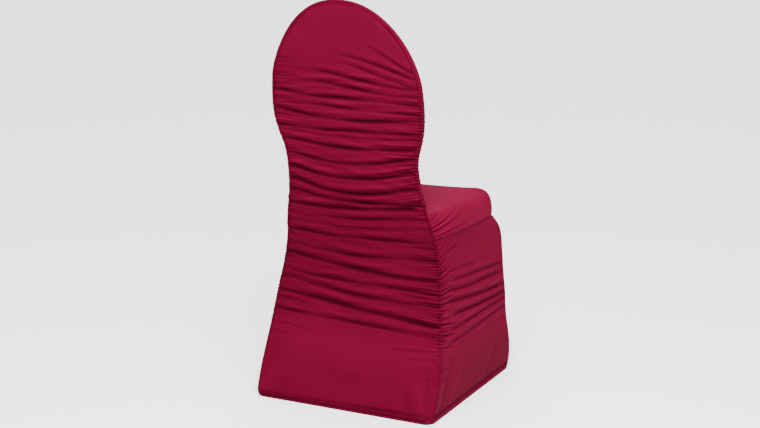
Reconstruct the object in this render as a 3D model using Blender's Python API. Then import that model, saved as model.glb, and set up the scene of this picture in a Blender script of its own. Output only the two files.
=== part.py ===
"""Ruched stretch cover of a round-back banquet chair.

Six sewn panels of knit cloth stand here as thin closed solids, in the shape that they take on
the chair: the ruched outside back from hem to crown, the inside back that wraps the backrest's
rim, the seat, the two side skirts and the front skirt. The chair itself is left out, so the
cover is hollow. Units are metres. The chair faces -Y and +Z is up.
"""
import math

import bmesh
import bpy
import numpy as np
from mathutils import Vector

# Overall sizes
CROWN_HEIGHT = 0.953
OVAL_HEIGHT = 0.763        # the backrest's round top starts here
SEAT_HEIGHT = 0.469
SEAM_HEIGHT = 0.408        # level seam under the seat cushion
OVAL_HALF_WIDTH = 0.1882
OVAL_SIDE_POWER = 2 / 2.17
OVAL_TOP_POWER = 2 / 1.44

# Cloth
CLOTH = 0.0020             # thickness of the knit with its seam allowances
SEAM_SETBACK = 0.00030     # each panel stops this far short of the seam line
LEAST_PULL = 0.4           # limits the setback where two seams meet at a sharp corner
MITRE_LIMIT = 1.45

# Backrest rim and corner rounding
RIM_FOOT_INSET = 0.016     # the rim is drawn in where it meets the seat
RIM_TAPER = 0.030          # and swells to its full width this far above
EDGE_ROUND = 0.014
RIM_STEPS = (              # how far inside the outline, and how far in front of the flat back
    (0.0015, 0.002),
    (0.0, 0.008),
    (0.002, 0.017),
    (0.011, 0.030),
)
SEAM_INSET, EDGE_DROP = RIM_STEPS[0]   # the seam between the outside back and the rim
RIM_DEPTH = RIM_STEPS[-1][1]
BACK_PAD = 0.008           # soft bulge of the padded inside back
PAD_REACH = 0.12           # it swells over this distance from the rim
PAD_FOOT = 0.06            # and over this height above the seat

# Seat
CUSHION_ROUND = 0.040
SEAT_HALF_WIDTH = 0.213
SEAT_FRONT = -0.152
SEAT_CROWN = 0.004
FRONT_LIFT = 0.008         # the seat's front corners stand this much over the middle of its front
FRONT_LEVEL = 0.40         # share of that lift that the middle lies low
FRONT_REACH = 0.120
CORNER_POWER = 3.0
PROFILE_POWER = 2.8        # how squarely the cushion's edge is rounded in section
SHOULDER_ROUND = 0.012     # the cushion's rounding where it meets the backrest
SEAT_HALF_LENGTH = 0.150   # the crown of the cushion dies out this far before and behind
SKIRT_BLEND = 0.016        # the skirts bend in to the seam under the seat over this height

# Outline of the outside back: height, half width
BACK_OUTLINE = (
    (0.000, 0.2287),
    (0.023, 0.2312),
    (0.078, 0.2316),
    (0.113, 0.2292),
    (0.188, 0.2215),
    (0.243, 0.2157),
    (0.303, 0.2065),
    (0.360, 0.1990),
    (0.408, 0.1927),
    (0.438, 0.1882),
    (0.469, 0.1807),
    (0.515, 0.1714),
    (0.548, 0.1677),
    (0.578, 0.1670),
    (0.603, 0.1702),
    (0.633, 0.1797),
    (0.668, 0.1884),
    (0.703, 0.1912),
    (0.733, 0.1907),
    (0.763, 0.1882),
)

# How far back the outside back lies: height, y
BACK_LEAN = (
    (0.000, 0.2303),
    (0.123, 0.1840),
    (0.243, 0.1510),
    (0.363, 0.1340),
    (0.463, 0.1540),
    (0.563, 0.1815),
    (0.663, 0.1995),
    (0.763, 0.2100),
    (0.863, 0.2220),
    (0.953, 0.2397),
)

# Seam between side and front skirt: height, x, y
FRONT_CORNER = (
    (0.000, 0.2130, -0.2335),
    (0.023, 0.2150, -0.2350),
    (0.078, 0.2160, -0.2330),
    (0.103, 0.2160, -0.2260),
    (0.148, 0.2160, -0.2120),
    (0.208, 0.2160, -0.2045),
    (0.253, 0.2160, -0.1940),
    (0.313, 0.2160, -0.1842),
    (0.357, 0.2160, -0.1746),
    (0.383, 0.2145, -0.1625),
    (0.408, 0.2048, -0.1438),
)

# Seam under the side of the seat, back to front: y, x
SIDE_SEAM = (
    (-0.1120, 0.2130),
    (-0.0370, 0.2125),
    (0.0430, 0.2095),
    (0.1030, 0.2020),
    (0.1380, 0.1912),
)

# Places across the back where a crease's height is given, from the chair's left (+X) to its right
STATIONS = (0.9, 0.45, 0.0, -0.45, -0.9)

# Creases of the outside back: the five heights, depth, where it starts and where it ends
BACK_CREASES = (
    (0.873, 0.865, 0.858, 0.845, 0.802, 0.0030, -0.45, -1.00),
    (0.833, 0.831, 0.826, 0.811, 0.786, 0.0026, 0.05, -1.00),
    (0.818, 0.815, 0.809, 0.788, 0.765, 0.0026, -0.10, -1.00),
    (0.793, 0.789, 0.778, 0.766, 0.760, 0.0030, 0.45, -0.90),
    (0.765, 0.763, 0.755, 0.745, 0.744, 0.0030, 0.45, -1.00),
    (0.734, 0.727, 0.728, 0.727, 0.727, 0.0030, 1.00, -1.00),
    (0.704, 0.708, 0.705, 0.703, 0.706, 0.0022, 1.00, -1.00),
    (0.690, 0.680, 0.677, 0.681, 0.689, 0.0036, 1.00, -1.00),
    (0.653, 0.649, 0.652, 0.655, 0.657, 0.0032, 1.00, -1.00),
    (0.643, 0.637, 0.636, 0.639, 0.645, 0.0014, 0.50, -1.00),
    (0.623, 0.613, 0.610, 0.614, 0.621, 0.0036, 1.00, -1.00),
    (0.588, 0.574, 0.573, 0.582, 0.599, 0.0032, 1.00, -1.00),
    (0.552, 0.538, 0.537, 0.546, 0.567, 0.0042, 1.00, -1.00),
    (0.523, 0.503, 0.498, 0.508, 0.527, 0.0048, 1.00, -1.00),
    (0.494, 0.481, 0.478, 0.483, 0.489, 0.0042, 1.00, -1.00),
    (0.459, 0.457, 0.461, 0.469, 0.479, 0.0042, 1.00, -0.85),
    (0.443, 0.433, 0.436, 0.445, 0.455, 0.0028, 0.55, -1.00),
    (0.412, 0.412, 0.413, 0.418, 0.423, 0.0012, 0.90, -0.60),
    (0.392, 0.387, 0.388, 0.392, 0.395, 0.0030, 1.00, -1.00),
    (0.356, 0.348, 0.345, 0.351, 0.357, 0.0028, 1.00, -1.00),
    (0.333, 0.322, 0.314, 0.308, 0.309, 0.0042, 1.00, -1.00),
    (0.294, 0.285, 0.284, 0.283, 0.281, 0.0028, 1.00, -1.00),
    (0.277, 0.263, 0.255, 0.252, 0.255, 0.0030, 1.00, -1.00),
    (0.243, 0.235, 0.224, 0.217, 0.209, 0.0042, 1.00, -1.00),
    (0.199, 0.196, 0.193, 0.189, 0.185, 0.0030, 1.00, -1.00),
    (0.153, 0.148, 0.143, 0.146, 0.154, 0.0012, -0.45, -1.00),
)

# Creases of a side skirt: height at the back seam, one third, two thirds and the front seam,
# depth, where it starts and where it ends (0 at the back seam, 1 at the front)
SIDE_STATIONS = (0.0, 0.33, 0.67, 1.0)
SIDE_CREASES = (
    (0.365, 0.377, 0.383, 0.388, 0.0014, 0.00, 0.30),
    (0.327, 0.320, 0.315, 0.313, 0.0015, 0.00, 0.50),
    (0.305, 0.296, 0.288, 0.279, 0.0026, 0.20, 1.00),
    (0.289, 0.272, 0.265, 0.260, 0.0030, 0.00, 0.95),
    (0.261, 0.247, 0.233, 0.225, 0.0036, 0.00, 0.97),
    (0.231, 0.218, 0.209, 0.203, 0.0036, 0.20, 1.00),
    (0.193, 0.188, 0.190, 0.187, 0.0026, 0.05, 1.00),
    (0.165, 0.161, 0.165, 0.169, 0.0022, 0.00, 1.00),
    (0.148, 0.143, 0.141, 0.142, 0.0012, 0.60, 1.00),
)
FAR_SIDE_LIFT = 0.006      # the unseen side's creases lie this much higher

# Shape of one crease: a broad underside above it and a short lip below it
CREASE_ABOVE = 0.0070
CREASE_BELOW = 0.0040
CREASE_FADE = 0.16         # part of the half width over which a short crease dies out
SEAM_FADE = 0.016          # the folds flatten this close to a seam
FLOW_REACH = 0.022         # rows of the mesh follow the creases within this distance
LONG_CREASE = 1.5          # and only creases that cross at least this much of the back
LEVEL_WEIGHT = 0.15        # pull back to level of a row of the back
SIDE_LEVEL_WEIGHT = 0.4    # and of a row of a side skirt
PIN_REACH = 0.018          # rows stay level at the back's edge this close to a crossing seam

# Hem
HEM_TOP = 0.009
HEM_PROUD = 0.0008
HEM_GROOVE = 0.0014
HEM_EASE = 0.003           # the hem's upper edge is softened over this height
GROOVE_ABOVE = 0.004       # the groove lies this far above the hem's upper edge
CORNER_LIFT = 0.0060       # the hem's corners are drawn up round the chair's feet
CORNER_REACH = 0.018

# Mesh rows and columns
FOLD_ROW_STEP = 0.0100
SMOOTH_ROW_STEP = 0.0300
SMOOTH_BELOW = 0.135
LEAST_ROW_STEP = 0.0034
ACROSS = (1.0, 0.94, 0.78, 0.54, 0.28, 0.0, -0.28, -0.54, -0.78, -0.94, -1.0)
OVAL_CORNER = math.radians(50)     # the outline's sides end here and its top begins
ARCH_START = 0.803                 # rows above this height bend towards the crown's curve
SEAT_ROWS = (0.0, 0.04, 0.12, 0.24, 0.40, 0.56, 0.70, 0.80, 0.87, 0.94, 1.0)
SHOULDER_REACH = 0.26      # the seat's rows straighten out over this part of its length
ARC_ROW = 0.80             # the side seam's straight part ends at this place of SEAT_ROWS
SEAT_COLUMNS = (1.0, 0.93, 0.86, 0.80, 0.74, 0.60, 0.40, 0.20, 0.0)
CHORD_ERROR = 0.00015      # a plain panel's rows may leave its seams by this much
LONGEST_ROW = 0.030
SHARP_ANGLE = math.radians(50)

CLOTH_COLORS = {
    "outside_back": (0.300, 0.008, 0.045),
    "inside_back": (0.330, 0.012, 0.052),
    "seat": (0.380, 0.022, 0.065),
    "side_skirt_left": (0.290, 0.010, 0.046),
    "side_skirt_right": (0.290, 0.010, 0.046),
    "front_skirt": (0.300, 0.009, 0.045),
}
CLOTH_ROUGHNESS = 0.55


def curve(rows, column, at):
    """Smooth value of one column of a table whose first column is the place."""
    places = np.array([row[0] for row in rows])
    values = np.array([row[column] for row in rows])
    slopes = np.gradient(values, places)
    at = np.clip(np.asarray(at, dtype=float), places[0], places[-1])
    cell = np.clip(np.searchsorted(places, at) - 1, 0, len(places) - 2)
    span = places[cell + 1] - places[cell]
    t = (at - places[cell]) / span
    rise = t * t * (3 - 2 * t)
    lead = t * (1 - t) ** 2 * span
    tail = t * t * (t - 1) * span
    return (values[cell] * (1 - rise) + values[cell + 1] * rise
            + slopes[cell] * lead + slopes[cell + 1] * tail)


def ease(x):
    """Smooth step from 0 to 1."""
    x = np.clip(x, 0.0, 1.0)
    return x * x * (3 - 2 * x)


def oval_point(angle):
    """Half width and height of the backrest's round top; a right angle is the crown."""
    width = OVAL_HALF_WIDTH * np.clip(np.cos(angle), 0, 1) ** OVAL_SIDE_POWER
    rise = (CROWN_HEIGHT - OVAL_HEIGHT) * np.sin(angle) ** OVAL_TOP_POWER
    return width, OVAL_HEIGHT + rise


def half_width(z):
    """Half width of the outside back at a height."""
    rise = np.clip((np.asarray(z, dtype=float) - OVAL_HEIGHT) / (CROWN_HEIGHT - OVAL_HEIGHT), 0, 1)
    angle = np.arcsin(rise ** (1 / OVAL_TOP_POWER))
    oval = OVAL_HALF_WIDTH * np.clip(np.cos(angle), 0, 1) ** OVAL_SIDE_POWER
    return np.where(rise > 0, oval, curve(BACK_OUTLINE, 1, z))


def back_y(z):
    """How far back the outside back lies at a height."""
    return curve(BACK_LEAN, 1, z)


def trough(rise):
    """One crease's profile: 1 at its bottom, broad above it and short below it."""
    reach = np.where(rise > 0, CREASE_ABOVE, CREASE_BELOW)
    return np.exp(-(np.abs(rise) / reach) ** 1.3)


def back_depth(u, z):
    """How far the creases of the outside back go in, at a place across and a height."""
    depth = np.zeros(np.broadcast(u, z).shape)
    for crease in BACK_CREASES:
        heights, strength, start, end = crease[:5], crease[5], crease[6], crease[7]
        height = np.interp(-u, -np.array(STATIONS), heights)
        inside = ease((start - u) / CREASE_FADE + 0.5) * ease((u - end) / CREASE_FADE + 0.5)
        inside = np.where(start >= 1, ease((u - end) / CREASE_FADE + 0.5), inside)
        depth = depth + strength * inside * trough(z - height)
    return depth


def side_depth(s, z, lift):
    """How far the creases of a side skirt go in."""
    depth = np.zeros(np.broadcast(s, z).shape)
    for crease in SIDE_CREASES:
        heights, strength, start, end = crease[:4], crease[4], crease[5], crease[6]
        height = np.interp(s, SIDE_STATIONS, heights) + lift
        inside = ease((s - start) / CREASE_FADE + 0.5) * ease((end - s) / CREASE_FADE + 0.5)
        depth = depth + strength * inside * trough(z - height)
    return depth


def hem_depth(z):
    """The hem stands slightly proud, with a shallow groove above its stitches."""
    band = ease((HEM_TOP - z) / HEM_EASE + 0.5)
    groove = np.exp(-((z - HEM_TOP - GROOVE_ABOVE) / GROOVE_ABOVE) ** 2)
    return HEM_GROOVE * groove - HEM_PROUD * band


def back_flow(label, u):
    """How far a row of the outside back shifts up or down to follow the creases."""
    shifts = np.zeros(len(STATIONS))
    total = LEVEL_WEIGHT
    for crease in BACK_CREASES:
        heights = np.array(crease[:5])
        middle = (heights[0] + heights[-1]) / 2
        weight = math.exp(-((label - middle) / FLOW_REACH) ** 2)
        if crease[6] - crease[7] > LONG_CREASE:
            shifts += weight * (heights - middle)
            total += weight
    shifts /= total
    pinned = 0.0
    for height in (SEAM_HEIGHT, SEAT_HEIGHT):
        pinned += math.exp(-((label - height) / PIN_REACH) ** 2)
    loose = 1 - min(1.0, pinned)
    shifts[0] *= loose
    shifts[-1] *= loose
    places = -np.array((1.0,) + STATIONS + (-1.0,))
    return np.interp(-u, places, np.concatenate(([shifts[0]], shifts, [shifts[-1]])))


def side_flow(height, s, lift):
    """How far a row of a side skirt shifts to follow the creases."""
    shifts = np.zeros(len(SIDE_STATIONS))
    total = SIDE_LEVEL_WEIGHT
    for crease in SIDE_CREASES:
        heights = np.array(crease[:4]) + lift
        weight = math.exp(-((height - heights[0]) / FLOW_REACH) ** 2)
        shifts += weight * (heights - heights[0])
        total += weight
    shifts *= ease(height / 0.06) * ease((SEAM_HEIGHT - height) / 0.05) / total
    return np.interp(s, SIDE_STATIONS, shifts)


def row_labels():
    """Heights of the outside back's rows, closer together where the cloth is creased."""
    top = float(oval_point(OVAL_CORNER)[1])
    chosen = [0.0, HEM_TOP * 0.6, HEM_TOP + GROOVE_ABOVE, SEAM_HEIGHT, SEAT_HEIGHT, top]
    bottoms = []
    for crease in BACK_CREASES:
        if crease[6] - crease[7] > LONG_CREASE:
            bottoms.append((crease[0] + crease[4]) / 2)
    above = [height + CREASE_ABOVE * 0.9 for height in bottoms]
    below = [height - CREASE_BELOW * 1.1 for height in bottoms]
    for height in bottoms + above + below:
        if min(abs(height - other) for other in chosen) > LEAST_ROW_STEP:
            chosen.append(height)
    fills = True
    while fills:
        chosen.sort()
        fills = []
        for low, high in zip(chosen, chosen[1:]):
            step = FOLD_ROW_STEP if low > SMOOTH_BELOW else SMOOTH_ROW_STEP
            if high - low > step * 1.35:
                fills.append((low + high) / 2)
        chosen += fills
    return np.array(chosen)


LABELS = row_labels()
SEAM_ROW = int(np.argmin(np.abs(LABELS - SEAM_HEIGHT)))
SEAT_ROW = int(np.argmin(np.abs(LABELS - SEAT_HEIGHT)))
FIRST_EDGE = 3             # rows this near the floor don't count as the back's edge


def outline_loop():
    """The backrest's outline, up its left side, over the crown and down its right side.

    Each entry is x, height, and the outward direction in the plane of the back.
    """
    left = np.array([label + float(back_flow(label, 1.0)) for label in LABELS])
    right = np.array([label + float(back_flow(label, -1.0)) for label in LABELS])
    inner = np.array(ACROSS[1:-1])
    width, height = oval_point(math.pi / 2 - np.abs(inner) * (math.pi / 2 - OVAL_CORNER))
    loop = np.vstack([
        np.column_stack([half_width(left), left]),
        np.column_stack([np.sign(inner) * width, height]),
        np.column_stack([-half_width(right), right])[::-1],
    ])
    ahead = np.vstack([loop[1:], loop[-1:]])
    behind = np.vstack([loop[:1], loop[:-1]])
    along = ahead - behind
    along /= np.linalg.norm(along, axis=1)[:, None]
    outward = np.column_stack([along[:, 1], -along[:, 0]])
    outward[:SEAM_ROW + 1] = (1.0, 0.0)
    outward[-SEAM_ROW - 1:] = (-1.0, 0.0)
    return loop, outward


def outline_at(inset, forward):
    """Points that lie inside the outline by inset and in front of the back by forward."""
    loop, outward = outline_loop()
    place = loop - inset * outward
    y = back_y(place[:, 1]) - forward
    return np.column_stack([place[:, 0], y, place[:, 1]])


def fill_outline(edge, first_row):
    """Grid of points inside an outline loop, from a row near its foot up to the crown."""
    rows = len(LABELS)
    left = edge[first_row:rows]
    right = edge[::-1][first_row:rows]
    top = np.vstack([left[-1:], edge[rows:-rows], right[-1:]])
    part = ((1 + np.array(ACROSS)) / 2)[:, None]
    arch = top - left[-1] * part - right[-1] * (1 - part)
    reach = (LABELS[first_row:] - ARCH_START) / (LABELS[-1] - ARCH_START)
    grid = []
    for start, end, share in zip(left, right, np.clip(reach, 0, 1) ** 2):
        grid.append(start * part + end * (1 - part) + arch * share)
    return np.array(grid)


def outside_back():
    """Grid of the ruched back, from hem to crown, left edge first."""
    edge = outline_at(SEAM_INSET, EDGE_DROP)
    grid = fill_outline(edge, 0)
    across = np.array(ACROSS)
    for row, label in enumerate(LABELS[:-1]):
        flow = back_flow(label, across)
        flow = flow - np.interp(across, (-1, 1), (flow[-1], flow[0]))
        grid[row, 1:-1, 2] += flow[1:-1]
    for row in range(len(LABELS) - 1):
        for column in range(1, len(across) - 1):
            x, _, height = grid[row, column]
            from_edge = np.hypot(edge[:, 0] - x, edge[:, 2] - height)[FIRST_EDGE:-FIRST_EDGE].min()
            drop = EDGE_DROP * (1 - ease(from_edge / EDGE_ROUND))
            grid[row, column, 1] = back_y(height) - drop
    return grid


def inside_back():
    """Grids of the inside back: the rim that it wraps, and its padded face."""
    loops = [outline_at(inset, forward) for inset, forward in RIM_STEPS]
    foot = 1 - ease((loops[0][:, 2:] - SEAT_HEIGHT) / RIM_TAPER)
    loops[-1] = loops[-1] * (1 - foot) + outline_at(RIM_FOOT_INSET, RIM_DEPTH) * foot
    for step in range(1, len(loops) - 1):
        straight = loops[0] + (loops[-1] - loops[0]) * step / (len(loops) - 1)
        loops[step] = loops[step] * (1 - foot) + straight * foot
    rim = np.array([loop[SEAT_ROW:-SEAT_ROW] for loop in loops]).transpose(1, 0, 2)
    face = fill_outline(loops[-1], SEAT_ROW)
    for row in range(1, len(face) - 1):
        for column in range(1, len(ACROSS) - 1):
            x, _, height = face[row, column]
            from_edge = np.hypot(loops[-1][:, 0] - x, loops[-1][:, 2] - height).min()
            puff = ease(from_edge / PAD_REACH) * ease((height - SEAT_HEIGHT) / PAD_FOOT)
            face[row, column, 1] = back_y(height) - RIM_DEPTH - BACK_PAD * puff
    return rim, face


def side_seam(place):
    """Point of the seam under the side of the seat, 0 at the back and 1 at the front corner."""
    y_end = SIDE_SEAM[0][0]
    y_start = SIDE_SEAM[-1][0]
    if place <= ARC_ROW:
        y = y_start + (y_end - y_start) * place / ARC_ROW
        return float(curve(SIDE_SEAM, 1, y)), y
    angle = math.radians(45) * (place - ARC_ROW) / (1 - ARC_ROW)
    return corner_arc(angle)


def corner_arc(angle):
    """Point of the seam round the seat's front corner, 0 at the side and a right angle in front."""
    across = math.cos(angle) ** (2 / CORNER_POWER)
    ahead = math.sin(angle) ** (2 / CORNER_POWER)
    x = SEAT_HALF_WIDTH - CUSHION_ROUND + CUSHION_ROUND * across
    y = SEAT_FRONT + CUSHION_ROUND - CUSHION_ROUND * ahead
    return x, y


def cushion_height(x, y):
    """Height of the seat cushion's surface over a place in plan."""
    seam_x = curve(SIDE_SEAM, 1, y)
    beside = np.clip((np.abs(x) - seam_x + CUSHION_ROUND) / CUSHION_ROUND, 0, 1)
    before = np.clip((SEAT_FRONT + CUSHION_ROUND - y) / CUSHION_ROUND, 0, 1)
    out = np.clip((beside ** CORNER_POWER + before ** CORNER_POWER) ** (1 / CORNER_POWER), 0, 1)
    flat = SEAT_HALF_WIDTH - CUSHION_ROUND
    crown = SEAT_CROWN * np.clip(1 - (x / flat) ** 2, 0, 1)
    crown = crown * np.clip(1 - (y / SEAT_HALF_LENGTH) ** 2, 0, 1)
    rise = (1 - out ** PROFILE_POWER) ** (1 / PROFILE_POWER)
    lift = FRONT_LIFT * (np.clip(np.abs(x) / flat, 0, 1) ** 2 - FRONT_LEVEL)
    lift = lift * np.clip(-y / FRONT_REACH, 0, 1) ** 2
    return SEAM_HEIGHT + (SEAT_HEIGHT - SEAM_HEIGHT + lift) * rise + crown


def seat_front_line():
    """The front edge of the seat panel, left to right."""
    points = []
    columns = SEAT_ROW - SEAM_ROW
    for step in range(columns):
        angle = math.radians(45 + 45 * step / columns)
        points.append(corner_arc(angle))
    flat = SEAT_HALF_WIDTH - CUSHION_ROUND
    for part in SEAT_COLUMNS:
        points.append((flat * part, SEAT_FRONT))
    points = np.array(points)
    mirrored = points[-2::-1] * (-1, 1)
    return np.vstack([points, mirrored])


def seat_section(place, angles):
    """Cross-section of the cushion from seam to seam, straight across the chair."""
    seam_x, y = side_seam(place)
    rounding = SHOULDER_ROUND + (CUSHION_ROUND - SHOULDER_ROUND) * ease(place / SHOULDER_REACH)
    flat = seam_x - rounding
    slope_x = flat + rounding * np.cos(angles) ** (2 / PROFILE_POWER)
    slope_z = SEAM_HEIGHT + (SEAT_HEIGHT - SEAM_HEIGHT) * np.sin(angles) ** (2 / PROFILE_POWER)
    top_x = flat * np.array(SEAT_COLUMNS)
    crown = cushion_height(top_x / flat * (SEAT_HALF_WIDTH - CUSHION_ROUND), y)
    half = np.column_stack([
        np.concatenate([slope_x, top_x]),
        np.full(len(slope_x) + len(top_x), y),
        np.concatenate([slope_z, crown]),
    ])
    return np.vstack([half, half[-2::-1] * (-1, 1, 1)])


def seat(back, rim, face):
    """Grid of the seat panel: its back row follows the shoulders and the backrest's foot."""
    left = back[SEAM_ROW:SEAT_ROW, 0]
    right = back[SEAM_ROW:SEAT_ROW, -1]
    first = np.vstack([left, rim[0], face[0, 1:-1], rim[-1, ::-1], right[::-1]])
    rise = np.clip((left[:, 2] - SEAM_HEIGHT) / (SEAT_HEIGHT - SEAM_HEIGHT), 0, 1)
    angles = np.arcsin(rise ** (PROFILE_POWER / 2))
    change = first - seat_section(0.0, angles)
    rows = [first]
    for place in SEAT_ROWS[1:]:
        if place <= ARC_ROW:
            row = seat_section(place, angles) + change * (1 - ease(place / SHOULDER_REACH))
            side_x, side_y = side_seam(place)
            row[0] = (side_x, side_y, SEAM_HEIGHT)
            row[-1] = (-side_x, side_y, SEAM_HEIGHT)
            rows.append(row)
    last = rows[-1]
    front = seat_front_line()
    share = (front[0, 0] - front[:, 0]) / (front[0, 0] - front[-1, 0])
    for place in SEAT_ROWS:
        if place > ARC_ROW:
            ahead = (place - ARC_ROW) / (1 - ARC_ROW)
            plan = last[:, :2] * (1 - ahead) + front * ahead
            side_x, side_y = side_seam(place)
            plan = plan + (np.array((side_x, side_y)) - plan[0]) * (1 - share)[:, None]
            plan = plan + (np.array((-side_x, side_y)) - plan[-1]) * share[:, None]
            height = cushion_height(plan[:, 0], plan[:, 1])
            height[[0, -1]] = SEAM_HEIGHT
            if place == 1:
                height[:] = SEAM_HEIGHT
            rows.append(np.column_stack([plan, height]))
    return np.array(rows)


def side_skirt(back, side):
    """Grid of one side skirt, hem to seam, from the back corner to the front corner."""
    edge = back[:SEAM_ROW + 1, 0 if side > 0 else -1]
    top = np.array([side_seam(place) for place in SEAT_ROWS])
    share = (top[0, 1] - top[:, 1]) / (top[0, 1] - top[-1, 1])
    lift = 0.0 if side < 0 else FAR_SIDE_LIFT
    rows = []
    for x_back, y_back, z_back in edge:
        height = z_back + side_flow(z_back, share, lift)
        x_front = curve(FRONT_CORNER, 1, height[-1])
        y_front = curve(FRONT_CORNER, 2, height[-1])
        x = abs(x_back) * (1 - share) + x_front * share
        y = y_back * (1 - share) + y_front * share
        from_seam = np.minimum(share, 1 - share) * (y_back - y_front)
        x = x + SEAM_INSET * ease(from_seam / EDGE_ROUND)
        near_top = math.exp(-(SEAM_HEIGHT - z_back) / SKIRT_BLEND)
        level_x = abs(edge[-1, 0]) * (1 - share) + top[-1, 0] * share
        top_length = edge[-1, 1] - top[-1, 1]
        level_x = level_x + SEAM_INSET * ease(np.minimum(share, 1 - share) * top_length / EDGE_ROUND)
        level_y = edge[-1, 1] * (1 - share) + top[-1, 1] * share
        x = x + (top[:, 0] - level_x) * near_top
        y = y + (top[:, 1] - level_y) * near_top
        rows.append(np.column_stack([side * x, y, height]))
    rows = np.array(rows)
    rows[-1] = np.column_stack([side * top[:, 0], top[:, 1], np.full(len(top), SEAM_HEIGHT)])
    rows[:, 0] = edge
    rows[-1, :, 2] = SEAM_HEIGHT
    return rows, share


def front_skirt(left, right):
    """Grid of the front skirt between the side skirts, left edge first."""
    line = seat_front_line()
    share = (line[0, 0] - line[:, 0]) / (line[0, 0] - line[-1, 0])
    rows = []
    for start, end in zip(left[:, -1], right[:, -1]):
        row = start * (1 - share)[:, None] + end * share[:, None]
        from_seam = np.minimum(share, 1 - share) * (start[0] - end[0])
        row[:, 1] -= EDGE_DROP * ease(from_seam / EDGE_ROUND)
        near_top = math.exp(-(SEAM_HEIGHT - start[2]) / SKIRT_BLEND)
        level = line[0, 1] - EDGE_DROP * ease(from_seam / EDGE_ROUND)
        row[:, 1] += (line[:, 1] - level) * near_top
        rows.append(row)
    rows = np.array(rows)
    rows[-1] = np.column_stack([line, np.full(len(line), SEAM_HEIGHT)])
    return rows


def lift_corners(grid):
    """Draw up the hem of one skirt panel at its two corners."""
    for column in (0, -1):
        from_corner = np.linalg.norm(grid[0] - grid[0, column], axis=1)
        near = np.clip(1 - from_corner / CORNER_REACH, 0, 1) ** 2
        low = np.clip(1 - grid[:, :, 2] / (2 * CORNER_REACH), 0, 1)
        grid[:, :, 2] = grid[:, :, 2] + CORNER_LIFT * near[None, :] * low
    return grid


def grid_faces(ids, flip):
    """Faces of a grid of vertex numbers, without the ones that have shrunk to nothing."""
    faces = []
    for low, high in zip(ids[:-1], ids[1:]):
        for column in range(len(low) - 1):
            corners = [low[column], low[column + 1], high[column + 1], high[column]]
            face = []
            for corner in corners:
                if corner not in face:
                    face.append(int(corner))
            if len(face) > 2:
                faces.append(face[::-1] if flip else face)
    return faces


def weld(grids):
    """One list of places for all panels, so that two panels share the vertices of a seam."""
    places = {}
    points = []
    numbered = {}
    for name, grid in grids.items():
        ids = np.zeros(grid.shape[:2], dtype=int)
        for row in range(grid.shape[0]):
            for column in range(grid.shape[1]):
                key = tuple(np.round(grid[row, column], 5) + 0.0)
                if key not in places:
                    places[key] = len(points)
                    points.append(grid[row, column])
                ids[row, column] = places[key]
        numbered[name] = ids
    return np.array(points), numbered


def face_normal(points, face):
    """Area vector of a face."""
    total = np.zeros(3)
    first = points[face[0]]
    for second, third in zip(face[1:-1], face[2:]):
        total += np.cross(points[second] - first, points[third] - first)
    return total


def sheet_normals(points, panels, hem):
    """Direction and length by which each vertex moves to thicken the cloth by one unit.

    At a seam every panel counts the same, so that the cloth is mitred there, and at the hem
    the cloth is cut level.
    """
    sums = [{} for _ in points]
    for name, faces in panels.items():
        for face in faces:
            area = face_normal(points, face)
            for corner in face:
                sums[corner][name] = sums[corner].get(name, np.zeros(3)) + area
    normals = np.zeros_like(points)
    stretch = np.ones(len(points))
    for corner, around in enumerate(sums):
        units = []
        for area in around.values():
            if corner in hem:
                area[2] = 0.0
            units.append(area / np.linalg.norm(area))
        normal = np.sum(units, axis=0)
        normal /= np.linalg.norm(normal)
        normals[corner] = normal
        stretch[corner] = min(1 / float(np.dot(units, normal).mean()), MITRE_LIMIT)
    return normals, stretch


def kept_rows(grid, seam_columns):
    """Rows that a plain panel keeps, where the ones between lie on nearly straight seams."""
    kept = [0]
    start = 0
    for end in range(2, len(grid)):
        between = grid[start + 1:end, seam_columns]
        first = grid[start, seam_columns]
        along = grid[end, seam_columns] - first
        length = np.linalg.norm(along, axis=1)
        unit = along / length[:, None]
        offset = between - first
        reach = (offset * unit).sum(axis=2)[:, :, None] * unit
        error = np.linalg.norm(offset - reach, axis=2).max()
        if error > CHORD_ERROR or length.max() > LONGEST_ROW:
            start = end - 1
            kept.append(start)
    return kept + [len(grid) - 1]


def setback(outer, faces, hem):
    """Shift that pulls each seam vertex of a panel a little into the panel."""
    uses = {}
    for face in faces:
        for start, end in zip(face, face[1:] + face[:1]):
            uses.setdefault(frozenset((start, end)), []).append(face)
    shifts = {}
    for edge, around in uses.items():
        if len(around) > 1:
            continue
        start, end = tuple(edge)
        if start in hem and end in hem:
            continue
        along = outer[end] - outer[start]
        along /= np.linalg.norm(along)
        inward = np.mean([outer[corner] for corner in around[0]], axis=0) - outer[start]
        inward -= np.dot(inward, along) * along
        inward /= np.linalg.norm(inward)
        for corner in (start, end):
            shifts.setdefault(corner, []).append(inward)
    result = {}
    for corner, pulls in shifts.items():
        total = np.mean(pulls, axis=0)
        total /= max(float(np.dot(total, total)), LEAST_PULL)
        if corner in hem:
            total[2] = 0.0
        result[corner] = total * SEAM_SETBACK
    return result


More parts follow.
